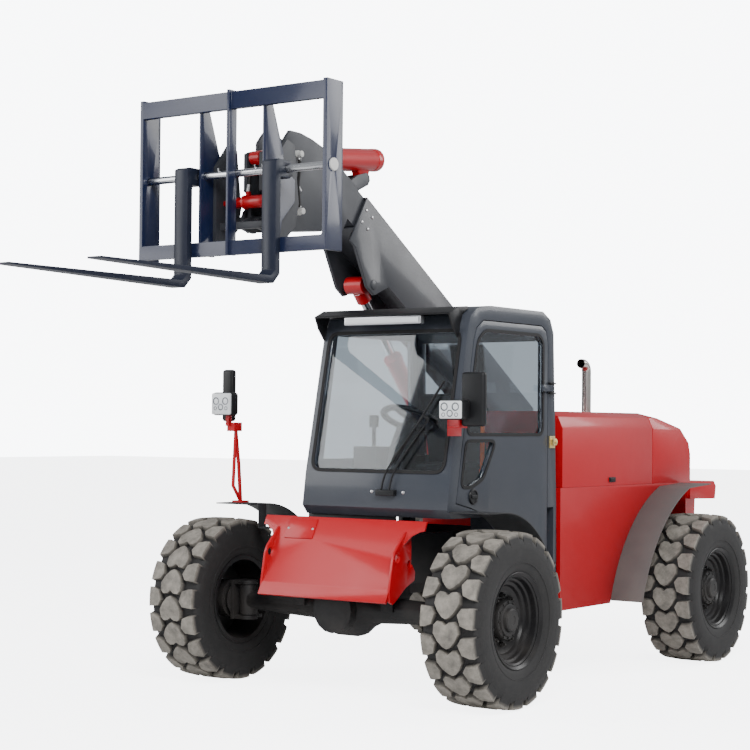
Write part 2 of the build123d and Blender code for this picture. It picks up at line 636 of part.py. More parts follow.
EXHAUST_X = 180
EXHAUST_Y = 2790
EXHAUST_RADIUS = 36
with BuildPart() as rear_hollow:
    front_slab(hood_shape(PANEL, HOOD_SPLIT - 1), HOOD_SEAM, HOOD_REAR - PANEL)
    under_slope = [
        (HOOD_SEAM - 1, HOOD_TOP + 1), (HOOD_SEAM - 1, HOOD_TOP - 4 - PANEL), (3148, 1700 - PANEL),
        (3296, 1590 - PANEL), (HOOD_REAR, 1492), (HOOD_REAR, HOOD_TOP + 1),
    ]
    side_slab(under_slope, HOOD_RIGHT_X - 1, SIDE_X + 1, mode=Mode.SUBTRACT)
    right_wall = [(HOOD_SEAM - 1, 1200), (HOOD_REAR, 1200), (HOOD_REAR, 1900), (HOOD_SEAM - 1, 1900)]
    side_slab(right_wall, HOOD_RIGHT_X - 10, HOOD_RIGHT_X + PANEL, mode=Mode.SUBTRACT)

with BuildPart() as rear_hood:
    front_slab(hood_shape(0, HOOD_SPLIT), HOOD_SEAM + GAP / 2, HOOD_REAR)
    slope = [
        (HOOD_SEAM, HOOD_TOP + 1), (HOOD_SEAM, HOOD_TOP - 4), (3150, 1700), (3300, 1590),
        (HOOD_REAR + 1, 1500), (HOOD_REAR + 1, HOOD_TOP + 1),
    ]
    side_slab(slope, HOOD_RIGHT_X - 1, SIDE_X + 1, mode=Mode.SUBTRACT)
    add(rear_hollow.part, mode=Mode.SUBTRACT)
    with BuildSketch(Plane.XY.offset(HOOD_TOP)) as pipe_hole:
        with Locations((EXHAUST_X, fore_aft(EXHAUST_Y))):
            RegularPolygon(EXHAUST_RADIUS + SEAT_GAP, 12)
    extrude(pipe_hole.sketch, amount=-120, mode=Mode.SUBTRACT)
rear_hood.part.label = "rear_hood"
export_step(rear_hood.part, "parts/rear_hood.step")

with BuildPart() as body_sides:
    split = HOOD_SPLIT - SEAT_GAP
    with BuildSketch(Plane.YZ.offset(SIDE_X - 30)) as skirt:
        with BuildLine():
            arc = rear_arc()
            Polyline(
                arc @ 1, (fore_aft(HOOD_REAR), REAR_ARC[2][1]), (fore_aft(HOOD_REAR), split),
                (fore_aft(HOOD_FRONT - 25), split), (fore_aft(HOOD_FRONT - 25), BODY_BOTTOM),
                (fore_aft(REAR_ARC[0][0] - 8), BODY_BOTTOM), arc @ 0,
            )
        make_face()
    extrude(skirt.sketch, amount=30)
    with BuildSketch(Plane.YZ.offset(LINER_X)) as liner:
        with BuildLine():
            rear_arc()
        trace(line_width=FENDER_T)
    extrude(liner.sketch, amount=SIDE_X - 29 - LINER_X)
    box(HOOD_RIGHT_X, SIDE_X - 29, HOOD_FRONT - 25, HOOD_FRONT - 8, RAIL_TOP + SEAT_GAP, split)
    box(HOOD_RIGHT_X, SIDE_X - 29, HOOD_REAR - 20, HOOD_REAR, RAIL_TOP + SEAT_GAP, split)
    box(HOOD_RIGHT_X, WALL_X, HOOD_FRONT - 25, HOOD_REAR, RAIL_TOP + SEAT_GAP, split)
    box(HOOD_RIGHT_X, WALL_X, HOOD_FRONT + 20, HOOD_SEAM - 10, split - 1, HINGE_TOP - 24)
    for along in (1500, 2500):
        box(HOOD_RIGHT_X, WALL_X, along, along + 60, split - 1, HINGE_TOP - SEAT_GAP)
body_sides.part.label = "body_sides"
export_step(body_sides.part, "parts/body_sides.step")

with BuildPart() as engine_block:
    box(-150, 420, 1560, 2480, RAIL_TOP + SEAT_GAP, 1640)
engine_block.part.label = "engine_block"
export_step(engine_block.part, "parts/engine_block.step")

TAIL = 3800
with BuildPart() as tail:
    weight = [
        (HOOD_REAR + SEAT_GAP, 1160), (HOOD_REAR + SEAT_GAP, 1290), (TAIL - 40, 1290),
        (TAIL, 1250), (TAIL - 20, 1150),
    ]
    side_slab(weight, -SIDE_X, SIDE_X)
    lower = [(3560, 1170), (3560, 640), (TAIL - 60, 640), (TAIL - 20, 1170)]
    side_slab(lower, -620, 620)
    box(
        -RAIL_HALF_X + 30, RAIL_HALF_X - 30, CHASSIS_TAIL + SEAT_GAP, 3600,
        RAIL_BOTTOM + 20, RAIL_TOP - 140,
    )
tail.part.label = "tail"
export_step(tail.part, "parts/tail.step")

with BuildPart() as exhaust:
    stack_y, stack_x = fore_aft(EXHAUST_Y), EXHAUST_X
    with BuildLine() as route:
        Polyline(
            (stack_x, stack_y, 1700), (stack_x, stack_y, 2124), (stack_x, stack_y - 18, 2166),
            (stack_x, stack_y - 60, 2184), (stack_x, stack_y - 90, 2184),
        )
    with BuildSketch(Plane.XY.offset(1700)):
        with Locations((stack_x, stack_y)):
            RegularPolygon(EXHAUST_RADIUS, 12)
            RegularPolygon(EXHAUST_RADIUS - 3, 12, mode=Mode.SUBTRACT)
    sweep(path=route.line, transition=Transition.RIGHT)
exhaust.part.label = "exhaust"
export_step(exhaust.part, "parts/exhaust.step")

with BuildPart() as side_tank:
    tank = [
        (880, 520), (860, 560), (860, 860), (900, 900), (1960, 900), (2010, 860), (1960, 560),
        (1930, 520),
    ]
    side_slab(tank, -SIDE_X, -RAIL_HALF_X - RAIL_THICK / 2 - SEAT_GAP)
side_tank.part.label = "side_tank"
export_step(side_tank.part, "parts/side_tank.step")

# ---------------------------------------------------------------- boom
BOOM_HALF = BOOM_WIDTH / 2
BELLY = BOOM_BOTTOM + BOOM_RECESS
LIFT_EYE = (2235, -180)  # on the boom: along, up
LIFT_EYE_RADIUS = 60
EAR_THICK = 24
INNER_HALF = 118
INNER_LOW = BELLY + BOOM_PLATE + 8
INNER_TOP = BOOM_TOP - BOOM_PLATE - 10
PAD_PLAY = 0.4  # between the inner boom and the outer boom's wear pads

with BuildPart() as boom_outer:
    flank = [
        (-BOOM_TAIL, 20), (-BOOM_TAIL, 150), (-60, BOOM_TOP), (BOOM_LENGTH, BOOM_TOP),
        (BOOM_LENGTH, BOOM_BOTTOM), (120, BOOM_BOTTOM), (60, BOOM_BOTTOM - 10),
        (-80, BOOM_BOTTOM - 10),
    ]
    boom_slab(flank, BOOM_HALF - BOOM_PLATE, BOOM_HALF)
    boom_box(-60, BOOM_LENGTH, BOOM_TOP - BOOM_PLATE, BOOM_TOP, BOOM_HALF)
    boom_box(150, BOOM_LENGTH, BELLY, BELLY + BOOM_PLATE, BOOM_HALF)
    pad_from, pad_to = BOOM_LENGTH - 140, BOOM_LENGTH - 15
    boom_slab(
        [(pad_from, 70), (pad_to, 70), (pad_to, 230), (pad_from, 230)],
        INNER_HALF + PAD_PLAY, BOOM_HALF - BOOM_PLATE + 1,
    )
    boom_box(pad_from, pad_to, INNER_TOP + PAD_PLAY, BOOM_TOP - BOOM_PLATE + 1, 90)
    boom_box(pad_from, pad_to, BELLY + BOOM_PLATE - 1, INNER_LOW - PAD_PLAY, 90)
    ear = [
        (LIFT_EYE[0] - 190, BOOM_BOTTOM + 40), (LIFT_EYE[0] - 50, LIFT_EYE[1] - 55),
        (LIFT_EYE[0] + 50, LIFT_EYE[1] - 55), (BOOM_LENGTH - 10, BOOM_BOTTOM + 40),
    ]
    boom_slab(ear, BOOM_HALF - EAR_THICK, BOOM_HALF)
    for side in (-1, 1):
        with BuildSketch(BOOM_PLANE.offset(side * (BOOM_HALF - 40))) as boss:
            RegularPolygon(PIN_RADIUS + 42, 20)
        extrude(boss.sketch, amount=side * 50)
        with BuildSketch(BOOM_PLANE.offset(side * BOOM_HALF)) as cap:
            with Locations(LIFT_EYE):
                RegularPolygon(34, 12)
        extrude(cap.sketch, amount=side * 6)
    with BuildSketch(BOOM_PLANE) as bore:
        RegularPolygon(PIN_RADIUS + PIN_PLAY, 24, major_radius=False)
    extrude(bore.sketch, amount=BOOM_HALF + 20, both=True, mode=Mode.SUBTRACT)
boom_outer.part.label = "boom_outer"
export_step(boom_outer.part, "parts/boom_outer.step")

INNER_WALL = 10
INNER_START = BOOM_LENGTH - TELESCOPE_TRAVEL - 420
TILT_PIN = (-300, 3020)  # behind the front axle, z
TILT_PIN_RADIUS = 32
TILT_BASE = (2600, 470)  # on the boom: along, up
HEAD_PLATE = 23

with BuildPart() as boom_inner:
    boom_box(INNER_START, 2800, INNER_LOW, INNER_TOP, INNER_HALF)
    boom_box(
        INNER_START - 1, 2801, INNER_LOW + INNER_WALL, INNER_TOP - INNER_WALL,
        INNER_HALF - INNER_WALL, mode=Mode.SUBTRACT,
    )
    head = [
        (428, 3020), (-250, 2950), (-300, 2942), (-355, 2965), (-376, 3020), (-352, 3075),
        (-316, 3108), (-268, 3104), (-216, 3180), (-225, 3270), (-225, 3540), (-160, 3615), (-50, 3613), (76, 3588), (230, 3540),
        (611, 3312),
    ]
    for side in (-1, 1):
        outer = BOOM_X + side * INNER_HALF
        side_slab(head, outer - side * HEAD_PLATE, outer)
    web = [(428, 3020), (-180, 2957), (-180, 2975), (410, 3040)]
    side_slab(web, BOOM_X - INNER_HALF, BOOM_X + INNER_HALF)
    lug = [
        (2640, INNER_TOP - 5), (2640, 330), (2565, 440), (2565, 480), (2590, 505), (2625, 500),
        (2700, 420), (2790, INNER_TOP - 5),
    ]
    boom_slab(lug, 34, 54)
    boom_box(2630, 2800, INNER_TOP - 8, INNER_TOP + 12, INNER_HALF)
    with BuildSketch(BOOM_PLANE) as tilt_base_pin:
        with Locations(TILT_BASE):
            Circle(22)
    extrude(tilt_base_pin.sketch, amount=54, both=True)
    cross_tube(
        BOOM_X - 130, BOOM_X + 130, fore_aft(TILT_PIN[0]), TILT_PIN[1],
        TILT_PIN_RADIUS + PIN_PLAY, mode=Mode.SUBTRACT, sides=16,
    )
boom_inner.part.label = "boom_inner"
export_step(boom_inner.part, "parts/boom_inner.step")

# ---------------------------------------------------------------- cylinders
def cylinder_plane(foot, eye):
    """A plane at a cylinder's foot whose x runs to its eye; both given as absolute (y, z)."""
    along = Vector(0, eye[0] - foot[0], eye[1] - foot[1])
    return Plane(origin=(BOOM_X, foot[0], foot[1]), x_dir=along, z_dir=(1, 0, 0)), along.length


def bar_along(plane, bar_from, bar_to, radius, mode=Mode.ADD):
    """A bar along a cylinder's axis, or a bore that clears a bar of that radius."""
    with BuildSketch(Plane(origin=plane.origin, z_dir=plane.x_dir).offset(bar_from)) as bar:
        RegularPolygon(radius, CYLINDER_SIDES, major_radius=mode == Mode.ADD)
    extrude(bar.sketch, amount=bar_to - bar_from, mode=mode)


def eye_across(plane, place, radius, half_width, mode=Mode.ADD):
    """A cylinder's eye at (along, below) its axis, or the bore through it."""
    with BuildSketch(plane) as eye:
        with Locations(place):
            RegularPolygon(radius, CYLINDER_SIDES, major_radius=mode == Mode.ADD)
    extrude(eye.sketch, amount=half_width, both=True, mode=mode)


CYLINDER_SIDES = 18
LIFT_BARREL = 1667  # foot pin to the gland's end
LIFT_ROD = 1180
LIFT_SLEEVE = 135
TILT_CAP = (970, 3570)  # the rear end of the tilt cylinder: behind the axle, z
TILT_EYE = (-345, 3420)
TILT_BARREL = 800
TILT_ROD = 1000
TILT_RADII = (80, 36)  # barrel and rod

lift_plane, lift_length = cylinder_plane((lift_y, lift_z), boom_point(*LIFT_EYE))
with BuildPart() as lift_barrel:
    eye_across(lift_plane, (0, 0), 58, 57)
    bar_along(lift_plane, 30, 80, 55)
    bar_along(lift_plane, 78, LIFT_BARREL, 62)
    bar_along(lift_plane, LIFT_BARREL - 40, LIFT_BARREL, 67)
    eye_across(lift_plane, (0, 0), 30 + PIN_PLAY, 58, mode=Mode.SUBTRACT)
    bar_along(lift_plane, 108, LIFT_BARREL + 1, 35 + SEAT_GAP, mode=Mode.SUBTRACT)
lift_barrel.part.label = "lift_barrel"
export_step(lift_barrel.part, "parts/lift_barrel.step")

with BuildPart() as lift_rod:
    bar_along(lift_plane, lift_length - LIFT_ROD, lift_length - 45, 35)
    bar_along(lift_plane, lift_length - LIFT_SLEEVE, lift_length - 45, 52)
    eye_across(lift_plane, (lift_length, 0), LIFT_EYE_RADIUS, 70)
lift_rod.part.label = "lift_rod"
export_step(lift_rod.part, "parts/lift_rod.step")

tilt_cap = (fore_aft(TILT_CAP[0]), TILT_CAP[1])
tilt_plane, tilt_length = cylinder_plane(tilt_cap, (fore_aft(TILT_EYE[0]), TILT_EYE[1]))
base = tilt_plane.to_local_coords(Vector(BOOM_X, *boom_point(*TILT_BASE)))
with BuildPart() as tilt_barrel:
    bar_along(tilt_plane, 0, TILT_BARREL, TILT_RADII[0])
    bar_along(tilt_plane, -12, 1, TILT_RADII[0] - 20)
    bar_along(tilt_plane, TILT_BARREL - 45, TILT_BARREL, TILT_RADII[0] + 6)
    with BuildSketch(tilt_plane) as foot:
        Polygon(
            (base.X - 84, 40), (base.X - 42, base.Y), (base.X - 30, base.Y + 30),
            (base.X, base.Y + 42), (base.X + 30, base.Y + 30), (base.X + 42, base.Y),
            (base.X + 84, 40), align=None,
        )
    extrude(foot.sketch, amount=30, both=True)
    eye_across(tilt_plane, (base.X, base.Y), 22 + PIN_PLAY, 31, mode=Mode.SUBTRACT)
    bar_along(tilt_plane, 40, TILT_BARREL + 1, TILT_RADII[1] + SEAT_GAP, mode=Mode.SUBTRACT)
tilt_barrel.part.label = "tilt_barrel"
export_step(tilt_barrel.part, "parts/tilt_barrel.step")

with BuildPart() as tilt_rod:
    bar_along(tilt_plane, tilt_length - TILT_ROD, tilt_length - 30, TILT_RADII[1])
    eye_across(tilt_plane, (tilt_length, 0), 45, 38)
tilt_rod.part.label = "tilt_rod"
export_step(tilt_rod.part, "parts/tilt_rod.step")

# ---------------------------------------------------------------- fork carriage
CARRIAGE_HALF = 765
CARRIAGE_FRONT = -630
CARRIAGE_DEPTH = 170
CARRIAGE_LOW = 2768
CARRIAGE_TOP = 3805
BEAM_T = 40
SHAFT_Y = -560
SHAFT_Z = 3293
SHAFT_RADIUS = 25
FORK_PLACE = 360
FORK_WIDTH = 110
FORK_T = 48
FORK_TIP = -2200
FORK_LOW = 2570
FORK_PLAY = 0.5
HOOK_PLATE_X = 265

with BuildPart() as coupler:
    wing = [
        (-490, 2840), (-490, 3360), (-360, 3520), (-280, 3490), (-255, 3290), (-230, 3120),
        (-265, 2970), (-360, 2880),
    ]
    for side in (-1, 1):
        outer = BOOM_X + side * (HOOK_PLATE_X - 15)
        side_slab(wing, outer - side * 25, outer)
        arm = [
            (-440, 2960), (-440, 3000), (-348, 3040), (-348, 3182), (-392, 3200), (-392, 3445),
            (-345, 3465), (-300, 3440), (-230, 3050), (-245, 2975), (-300, 2935), (-380, 2945),
        ]
        near = BOOM_X + side * 50
        side_slab(arm, near, near + side * 28)
        cap = near + side * 27
        cross_tube(cap, cap + side * 9, fore_aft(TILT_EYE[0]), TILT_EYE[1], 24, sides=12)
    box(BOOM_X - 226, BOOM_X + 226, -445, -400, 2955, 3000)
    cross_tube(
        BOOM_X - 249, BOOM_X + 249, fore_aft(TILT_PIN[0]), TILT_PIN[1], TILT_PIN_RADIUS
    )
coupler.part.label = "coupler"
export_step(coupler.part, "parts/coupler.step")

LOCK_AXIS = (-400, 3130)  # the attachment lock's cylinder, behind the front axle, z
with BuildPart() as lock_cylinder:
    axis_yz = (fore_aft(LOCK_AXIS[0]), LOCK_AXIS[1])
    cross_tube(BOOM_X - 60, BOOM_X + 190, *axis_yz, 42, sides=16)
    cross_tube(BOOM_X - 190, BOOM_X - 59, *axis_yz, 34, sides=16)
    lock_pin = HOOK_PLATE_X - 40 - SEAT_GAP
    cross_tube(BOOM_X - lock_pin, BOOM_X + lock_pin, *axis_yz, 20, sides=12)
    for x in (BOOM_X - 30, BOOM_X + 150):
        box(x - 14, x + 14, LOCK_AXIS[0] - 14, LOCK_AXIS[0] + 14, LOCK_AXIS[1], LOCK_AXIS[1] + 56)
lock_cylinder.part.label = "lock_cylinder"
export_step(lock_cylinder.part, "parts/lock_cylinder.step")

with BuildPart() as fork_carriage:
    left, right = BOOM_X + CARRIAGE_HALF, BOOM_X - CARRIAGE_HALF
    back = CARRIAGE_FRONT + CARRIAGE_DEPTH
    box(right, left, CARRIAGE_FRONT, CARRIAGE_FRONT + BEAM_T, CARRIAGE_TOP - 110, CARRIAGE_TOP)
    box(right, left, CARRIAGE_FRONT, CARRIAGE_FRONT + BEAM_T, CARRIAGE_LOW, CARRIAGE_LOW + 92)
    for side in (-1, 1):
        end = BOOM_X + side * CARRIAGE_HALF
        box(end - side * 30, end, CARRIAGE_FRONT, back, CARRIAGE_LOW, CARRIAGE_TOP + 12)
        hook = [
            (CARRIAGE_FRONT + 20, CARRIAGE_TOP - 60), (CARRIAGE_FRONT + 90, CARRIAGE_TOP - 60),
            (-420, 3420), (-420, 3330), (-300, 3260), (-300, 3120), (-430, 2990),
            (-470, CARRIAGE_LOW + 10), (CARRIAGE_FRONT + 20, CARRIAGE_LOW + 10),
        ]
        near = BOOM_X + side * (HOOK_PLATE_X - 15 + SEAT_GAP)
        side_slab(hook, near, near + side * 20)
    box(
        BOOM_X - 10, BOOM_X + 10, CARRIAGE_FRONT - 20, CARRIAGE_FRONT + 60, CARRIAGE_LOW,
        CARRIAGE_TOP + 12,
    )
    cross_tube(
        right - 1, left + 1, fore_aft(SHAFT_Y), SHAFT_Z, SHAFT_RADIUS + SEAT_GAP,
        mode=Mode.SUBTRACT, sides=16,
    )
fork_carriage.part.label = "fork_carriage"
export_step(fork_carriage.part, "parts/fork_carriage.step")

with BuildPart() as fork_shaft:
    cross_tube(right - 8, left + 8, fore_aft(SHAFT_Y), SHAFT_Z, SHAFT_RADIUS, sides=16)
fork_shaft.part.label = "fork_shaft"
export_step(fork_shaft.part, "parts/fork_shaft.step")

for name, side in (("fork_left", 1), ("fork_right", -1)):
    shank_back = CARRIAGE_FRONT - FORK_PLAY
    middle = BOOM_X + side * FORK_PLACE
    with BuildPart() as fork:
        profile = [
            (shank_back, SHAFT_Z - 60), (shank_back, FORK_LOW + 60), (shank_back - 60, FORK_LOW),
            (FORK_TIP, FORK_LOW + 34), (FORK_TIP, FORK_LOW + 46),
            (shank_back - FORK_T - 40, FORK_LOW + FORK_T),
            (shank_back - FORK_T, FORK_LOW + FORK_T + 40),
            (shank_back - FORK_T, SHAFT_Z + 40), (shank_back - 20, SHAFT_Z + 52),
            (SHAFT_Y + 30, SHAFT_Z + 52), (SHAFT_Y + 50, SHAFT_Z + 20), (SHAFT_Y + 50, SHAFT_Z - 40),
            (SHAFT_Y + 20, SHAFT_Z - 60),
        ]
        side_slab(profile, middle - FORK_WIDTH / 2, middle + FORK_WIDTH / 2)
        cross_tube(
            middle - FORK_WIDTH, middle + FORK_WIDTH, fore_aft(SHAFT_Y), SHAFT_Z,
            SHAFT_RADIUS + PIN_PLAY, mode=Mode.SUBTRACT, sides=16,
        )
    fork.part.label = name
    export_step(fork.part, f"parts/{name}.step")

# ---------------------------------------------------------------- lamps and mirrors
with BuildPart() as lamp_brackets:
    box(CAB_LEFT_X + SEAT_GAP, 905, -85, -55, 1690, 1700)
    box(CAB_LEFT_X + SEAT_GAP, CAB_LEFT_X + 8, -85, 64, 1640, 1740)
    box(895, 905, -140, -55, 1690, 1780)
    box(-1030, -940, 45, 115, 1176 + SEAT_GAP, 1188)
    for bend in ((-985, fore_aft(0), 1290), (-983, fore_aft(55), 1430)):
        with BuildLine() as stalk:
            Polyline((-985, fore_aft(80), 1184), bend, (-975, fore_aft(10), 1670))
        with BuildSketch(Plane.XY.offset(1184)):
            with Locations((-985, fore_aft(80))):
                RegularPolygon(13, 8)
        sweep(path=stalk.line, transition=Transition.RIGHT)
    box(-1010, -945, -40, 40, 1655, 1715)
    box(-1010, -982, -55 + SEAT_GAP, -25 - SEAT_GAP, 1690, 1900)
lamp_brackets.part.label = "lamp_brackets"
export_step(lamp_brackets.part, "parts/lamp_brackets.step")

with BuildPart() as work_lamps:
    box(815, 985, -245, -140 - SEAT_GAP, 1740, 1860)
    box(-1067, -893, -145, -55, 1760, 1915)
work_lamps.part.label = "work_lamps"
export_step(work_lamps.part, "parts/work_lamps.step")

with BuildPart() as mirrors:
    box(905 + SEAT_GAP, 1070, -132, -84, 1700, 2030)
    box(-1074, -980, -25, 25, 1720, 2070)
mirrors.part.label = "mirrors"
export_step(mirrors.part, "parts/mirrors.step")
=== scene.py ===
"""A telehandler: side cab, two-stage boom with pallet forks, four steered wheels.

Metres, the CAD's frame: +X is the machine's left, -Y forward, +Z up, the ground is Z = 0.
"""
from math import cos, pi, radians, sin, tau

import bmesh
import bpy
from mathutils import Matrix, Vector


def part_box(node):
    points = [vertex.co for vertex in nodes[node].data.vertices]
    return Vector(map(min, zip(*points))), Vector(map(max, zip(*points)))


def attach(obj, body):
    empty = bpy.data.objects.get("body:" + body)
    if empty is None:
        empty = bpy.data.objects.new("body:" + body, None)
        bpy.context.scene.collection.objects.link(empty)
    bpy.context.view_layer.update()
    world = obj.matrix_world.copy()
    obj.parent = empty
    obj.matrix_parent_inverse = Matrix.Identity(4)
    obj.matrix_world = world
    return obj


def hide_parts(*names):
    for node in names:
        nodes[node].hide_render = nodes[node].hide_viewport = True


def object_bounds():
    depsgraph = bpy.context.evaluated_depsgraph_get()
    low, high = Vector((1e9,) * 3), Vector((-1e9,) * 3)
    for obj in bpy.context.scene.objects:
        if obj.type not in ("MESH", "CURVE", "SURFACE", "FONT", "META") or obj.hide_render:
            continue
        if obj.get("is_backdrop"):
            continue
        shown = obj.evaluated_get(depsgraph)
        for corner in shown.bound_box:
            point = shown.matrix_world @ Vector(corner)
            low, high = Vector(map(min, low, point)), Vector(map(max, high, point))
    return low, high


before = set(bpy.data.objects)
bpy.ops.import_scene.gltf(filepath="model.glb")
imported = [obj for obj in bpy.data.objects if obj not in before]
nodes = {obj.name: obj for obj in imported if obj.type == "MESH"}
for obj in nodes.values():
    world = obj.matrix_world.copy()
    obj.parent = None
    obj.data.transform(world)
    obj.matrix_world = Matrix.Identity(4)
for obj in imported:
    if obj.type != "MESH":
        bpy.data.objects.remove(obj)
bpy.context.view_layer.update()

# The camera stands at the machine's left front corner, low and far off, looking along the machine.
view_turn, view_rise, view_roll = radians(35.23), radians(1.63), radians(0.48)
ahead = Vector((-sin(view_turn) * cos(view_rise), cos(view_turn) * cos(view_rise), sin(view_rise)))
right = ahead.cross(Vector((0, 0, 1))).normalized()
upward = right.cross(ahead)
tilted_right = right * cos(view_roll) + upward * sin(view_roll)
tilted_up = upward * cos(view_roll) - right * sin(view_roll)
camera = bpy.data.objects.new("camera", bpy.data.cameras.new("camera"))
camera.data.lens = 86.1
camera.data.sensor_width = 36
camera.matrix_world = Matrix.Translation((6.7532, -10.1145, 1.6978)) @ Matrix(
    (tilted_right, tilted_up, -ahead)
).transposed().to_4x4()
bpy.context.collection.objects.link(camera)
bpy.context.scene.camera = camera
world = bpy.data.worlds.new("studio")
world.use_nodes = True
world.node_tree.nodes["Background"].inputs["Color"].default_value = (0.95, 0.97, 1.0, 1)
sight = world.node_tree.nodes.new("ShaderNodeLightPath")
backdrop = world.node_tree.nodes.new("ShaderNodeMapRange")
backdrop.inputs["To Min"].default_value = 0.5
backdrop.inputs["To Max"].default_value = 9.0
world.node_tree.links.new(sight.outputs["Is Camera Ray"], backdrop.inputs["Value"])
world.node_tree.links.new(
    backdrop.outputs["Result"], world.node_tree.nodes["Background"].inputs["Strength"]
)
bpy.context.scene.world = world

# ---- Floor and lamps of the studio
# A pale matt floor and three soft panels: a broad key from the front left, a fill from the right
# front and a rim from behind, so that dark steel and glass both read.
floor_mesh = bpy.data.meshes.new("floor")
floor_mesh.from_pydata(
    [(-60, -60, -0.002), (60, -60, -0.002), (60, 60, -0.002), (-60, 60, -0.002)], [], [(0, 1, 2, 3)]
)
floor = bpy.data.objects.new("floor", floor_mesh)
bpy.context.collection.objects.link(floor)


def feed(node, feeds):
    """Sets a node's inputs: each one named takes a value, or a link where it is a socket."""
    for label, source in feeds.items():
        if isinstance(source, bpy.types.NodeSocket):
            node.id_data.links.new(source, node.inputs[label])
        else:
            node.inputs[label].default_value = source
    return node


def add_node(tree, kind, feeds=(), operation=None):
    """Adds a node to a tree, with its operation set and its inputs fed."""
    made = tree.nodes.new(kind)
    if operation:
        setattr(made, "data_type" if operation == "RGBA" else "operation", operation)
    return feed(made, dict(feeds))


def new_material(name):
    """A material with its node tree and its shader."""
    made = bpy.data.materials.new(name)
    made.use_nodes = True
    return made, made.node_tree, made.node_tree.nodes["Principled BSDF"]


floor_paint, floor_tree, floor_shader = new_material("pale floor")
floor_sight = add_node(floor_tree, "ShaderNodeLightPath")
floor_lift = add_node(floor_tree, "ShaderNodeMapRange", {
    "Value": floor_sight.outputs["Is Camera Ray"], "To Max": 5.0,
})
feed(floor_shader, {
    "Base Color": (0.93, 0.93, 0.93, 1), "Roughness": 0.9, "Emission Color": (0.97, 0.98, 1.0, 1),
    "Emission Strength": floor_lift.outputs["Result"],
})
floor_mesh.materials.append(floor_paint)
floor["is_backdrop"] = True
for name, place, aim, size, power in (
    ("key", (6.5, -7.5, 8.5), (0, 0, 1.4), 5.0, 1250),
    ("fill", (-8.0, -7.0, 5.0), (0, 0, 1.6), 6.0, 520),
    ("rim", (5.5, 8.5, 6.5), (0, 0, 1.2), 5.0, 500),
):
    panel = bpy.data.lights.new(name, "AREA")
    panel.size = size
    panel.energy = power
    lamp = bpy.data.objects.new(name, panel)
    turn = (Vector(aim) - Vector(place)).to_track_quat("-Z", "Y").to_matrix().to_4x4()
    lamp.matrix_world = Matrix.Translation(place) @ turn
    bpy.context.collection.objects.link(lamp)


# ---- Main frame, engine and tail weight
# Plate rails with cross members, the tower that carries the boom, the cast tail weight and the
# engine under the hood. Black semi-gloss paint over steel and iron, dusty low down.
def add_group(name, inputs, outputs, kind="ShaderNodeTree"):
    """A node group with its sockets, ready to be wired."""
    group = bpy.data.node_groups.new(name, kind)
    for label, socket_kind, value in inputs:
        socket = group.interface.new_socket(label, in_out="INPUT", socket_type=socket_kind)
        if value is not None:
            socket.default_value = value
    for label, socket_kind in outputs:
        group.interface.new_socket(label, in_out="OUTPUT", socket_type=socket_kind)
    return group, group.nodes.new("NodeGroupInput"), group.nodes.new("NodeGroupOutput")


COLOUR, NUMBER = "NodeSocketColor", "NodeSocketFloat"
weather, given, result = add_group(
    "Weathered skin",
    (
        ("Paint", COLOUR, (0.5, 0.5, 0.5, 1)), ("Dust", COLOUR, (0.34, 0.3, 0.26, 1)),
        ("Dust Amount", NUMBER, 0.2), ("Dust Height", NUMBER, 0.7),
        ("Roughness", NUMBER, 0.4), ("Mottle", NUMBER, 0.08), ("Grain Scale", NUMBER, 260.0),
    ),
    (("Colour", COLOUR), ("Roughness", NUMBER), ("Height", NUMBER)),
)
place = add_node(weather, "ShaderNodeTexCoord").outputs["Object"]
height = add_node(weather, "ShaderNodeSeparateXYZ", {0: place}).outputs["Z"]
low_down = add_node(weather, "ShaderNodeMapRange", {
    "Value": height, "From Min": given.outputs["Dust Height"], "From Max": 0.0,
})
patches = add_node(weather, "ShaderNodeTexNoise", {"Vector": place, "Scale": 5.0, "Detail": 6.0})
spread = add_node(weather, "ShaderNodeMapRange", {
    "Value": patches.outputs["Fac"], "From Min": 0.35, "From Max": 0.75,
})
settled = add_node(weather, "ShaderNodeMath", {
    0: low_down.outputs["Result"], 1: spread.outputs["Result"], 2: 0.02,
}, "MULTIPLY_ADD")
dusty = add_node(weather, "ShaderNodeMath", {
    0: settled.outputs[0], 1: given.outputs["Dust Amount"],
}, "MULTIPLY")
dusty.use_clamp = True
mottle = add_node(weather, "ShaderNodeTexNoise", {"Vector": place, "Scale": 1.7, "Detail": 3.0})
darker = add_node(weather, "ShaderNodeMath", {0: 1.0, 1: given.outputs["Mottle"]}, "SUBTRACT")
brighter = add_node(weather, "ShaderNodeMath", {0: 1.0, 1: given.outputs["Mottle"]}, "ADD")
shade = add_node(weather, "ShaderNodeMapRange", {
    "Value": mottle.outputs["Fac"], "To Min": darker.outputs[0], "To Max": brighter.outputs[0],
})
tinted = add_node(weather, "ShaderNodeVectorMath", {
    0: given.outputs["Paint"], "Scale": shade.outputs["Result"],
}, "SCALE")
cover = add_node(weather, "ShaderNodeMix", {
    "Factor": dusty.outputs[0], "A": tinted.outputs[0], "B": given.outputs["Dust"],
}, "RGBA")
rougher = add_node(weather, "ShaderNodeMath", {
    0: dusty.outputs[0], 1: 0.5, 2: given.outputs["Roughness"],
}, "MULTIPLY_ADD")
rougher.use_clamp = True
smears = add_node(weather, "ShaderNodeMath", {
    0: spread.outputs["Result"], 1: 0.08, 2: rougher.outputs[0],
}, "MULTIPLY_ADD")
smears.use_clamp = True
grain = add_node(weather, "ShaderNodeTexNoise", {
    "Vector": place, "Scale": given.outputs["Grain Scale"],
})
feed(result, {
    "Colour": cover.outputs["Result"], "Roughness": smears.outputs[0], "Height": grain.outputs["Fac"],
})


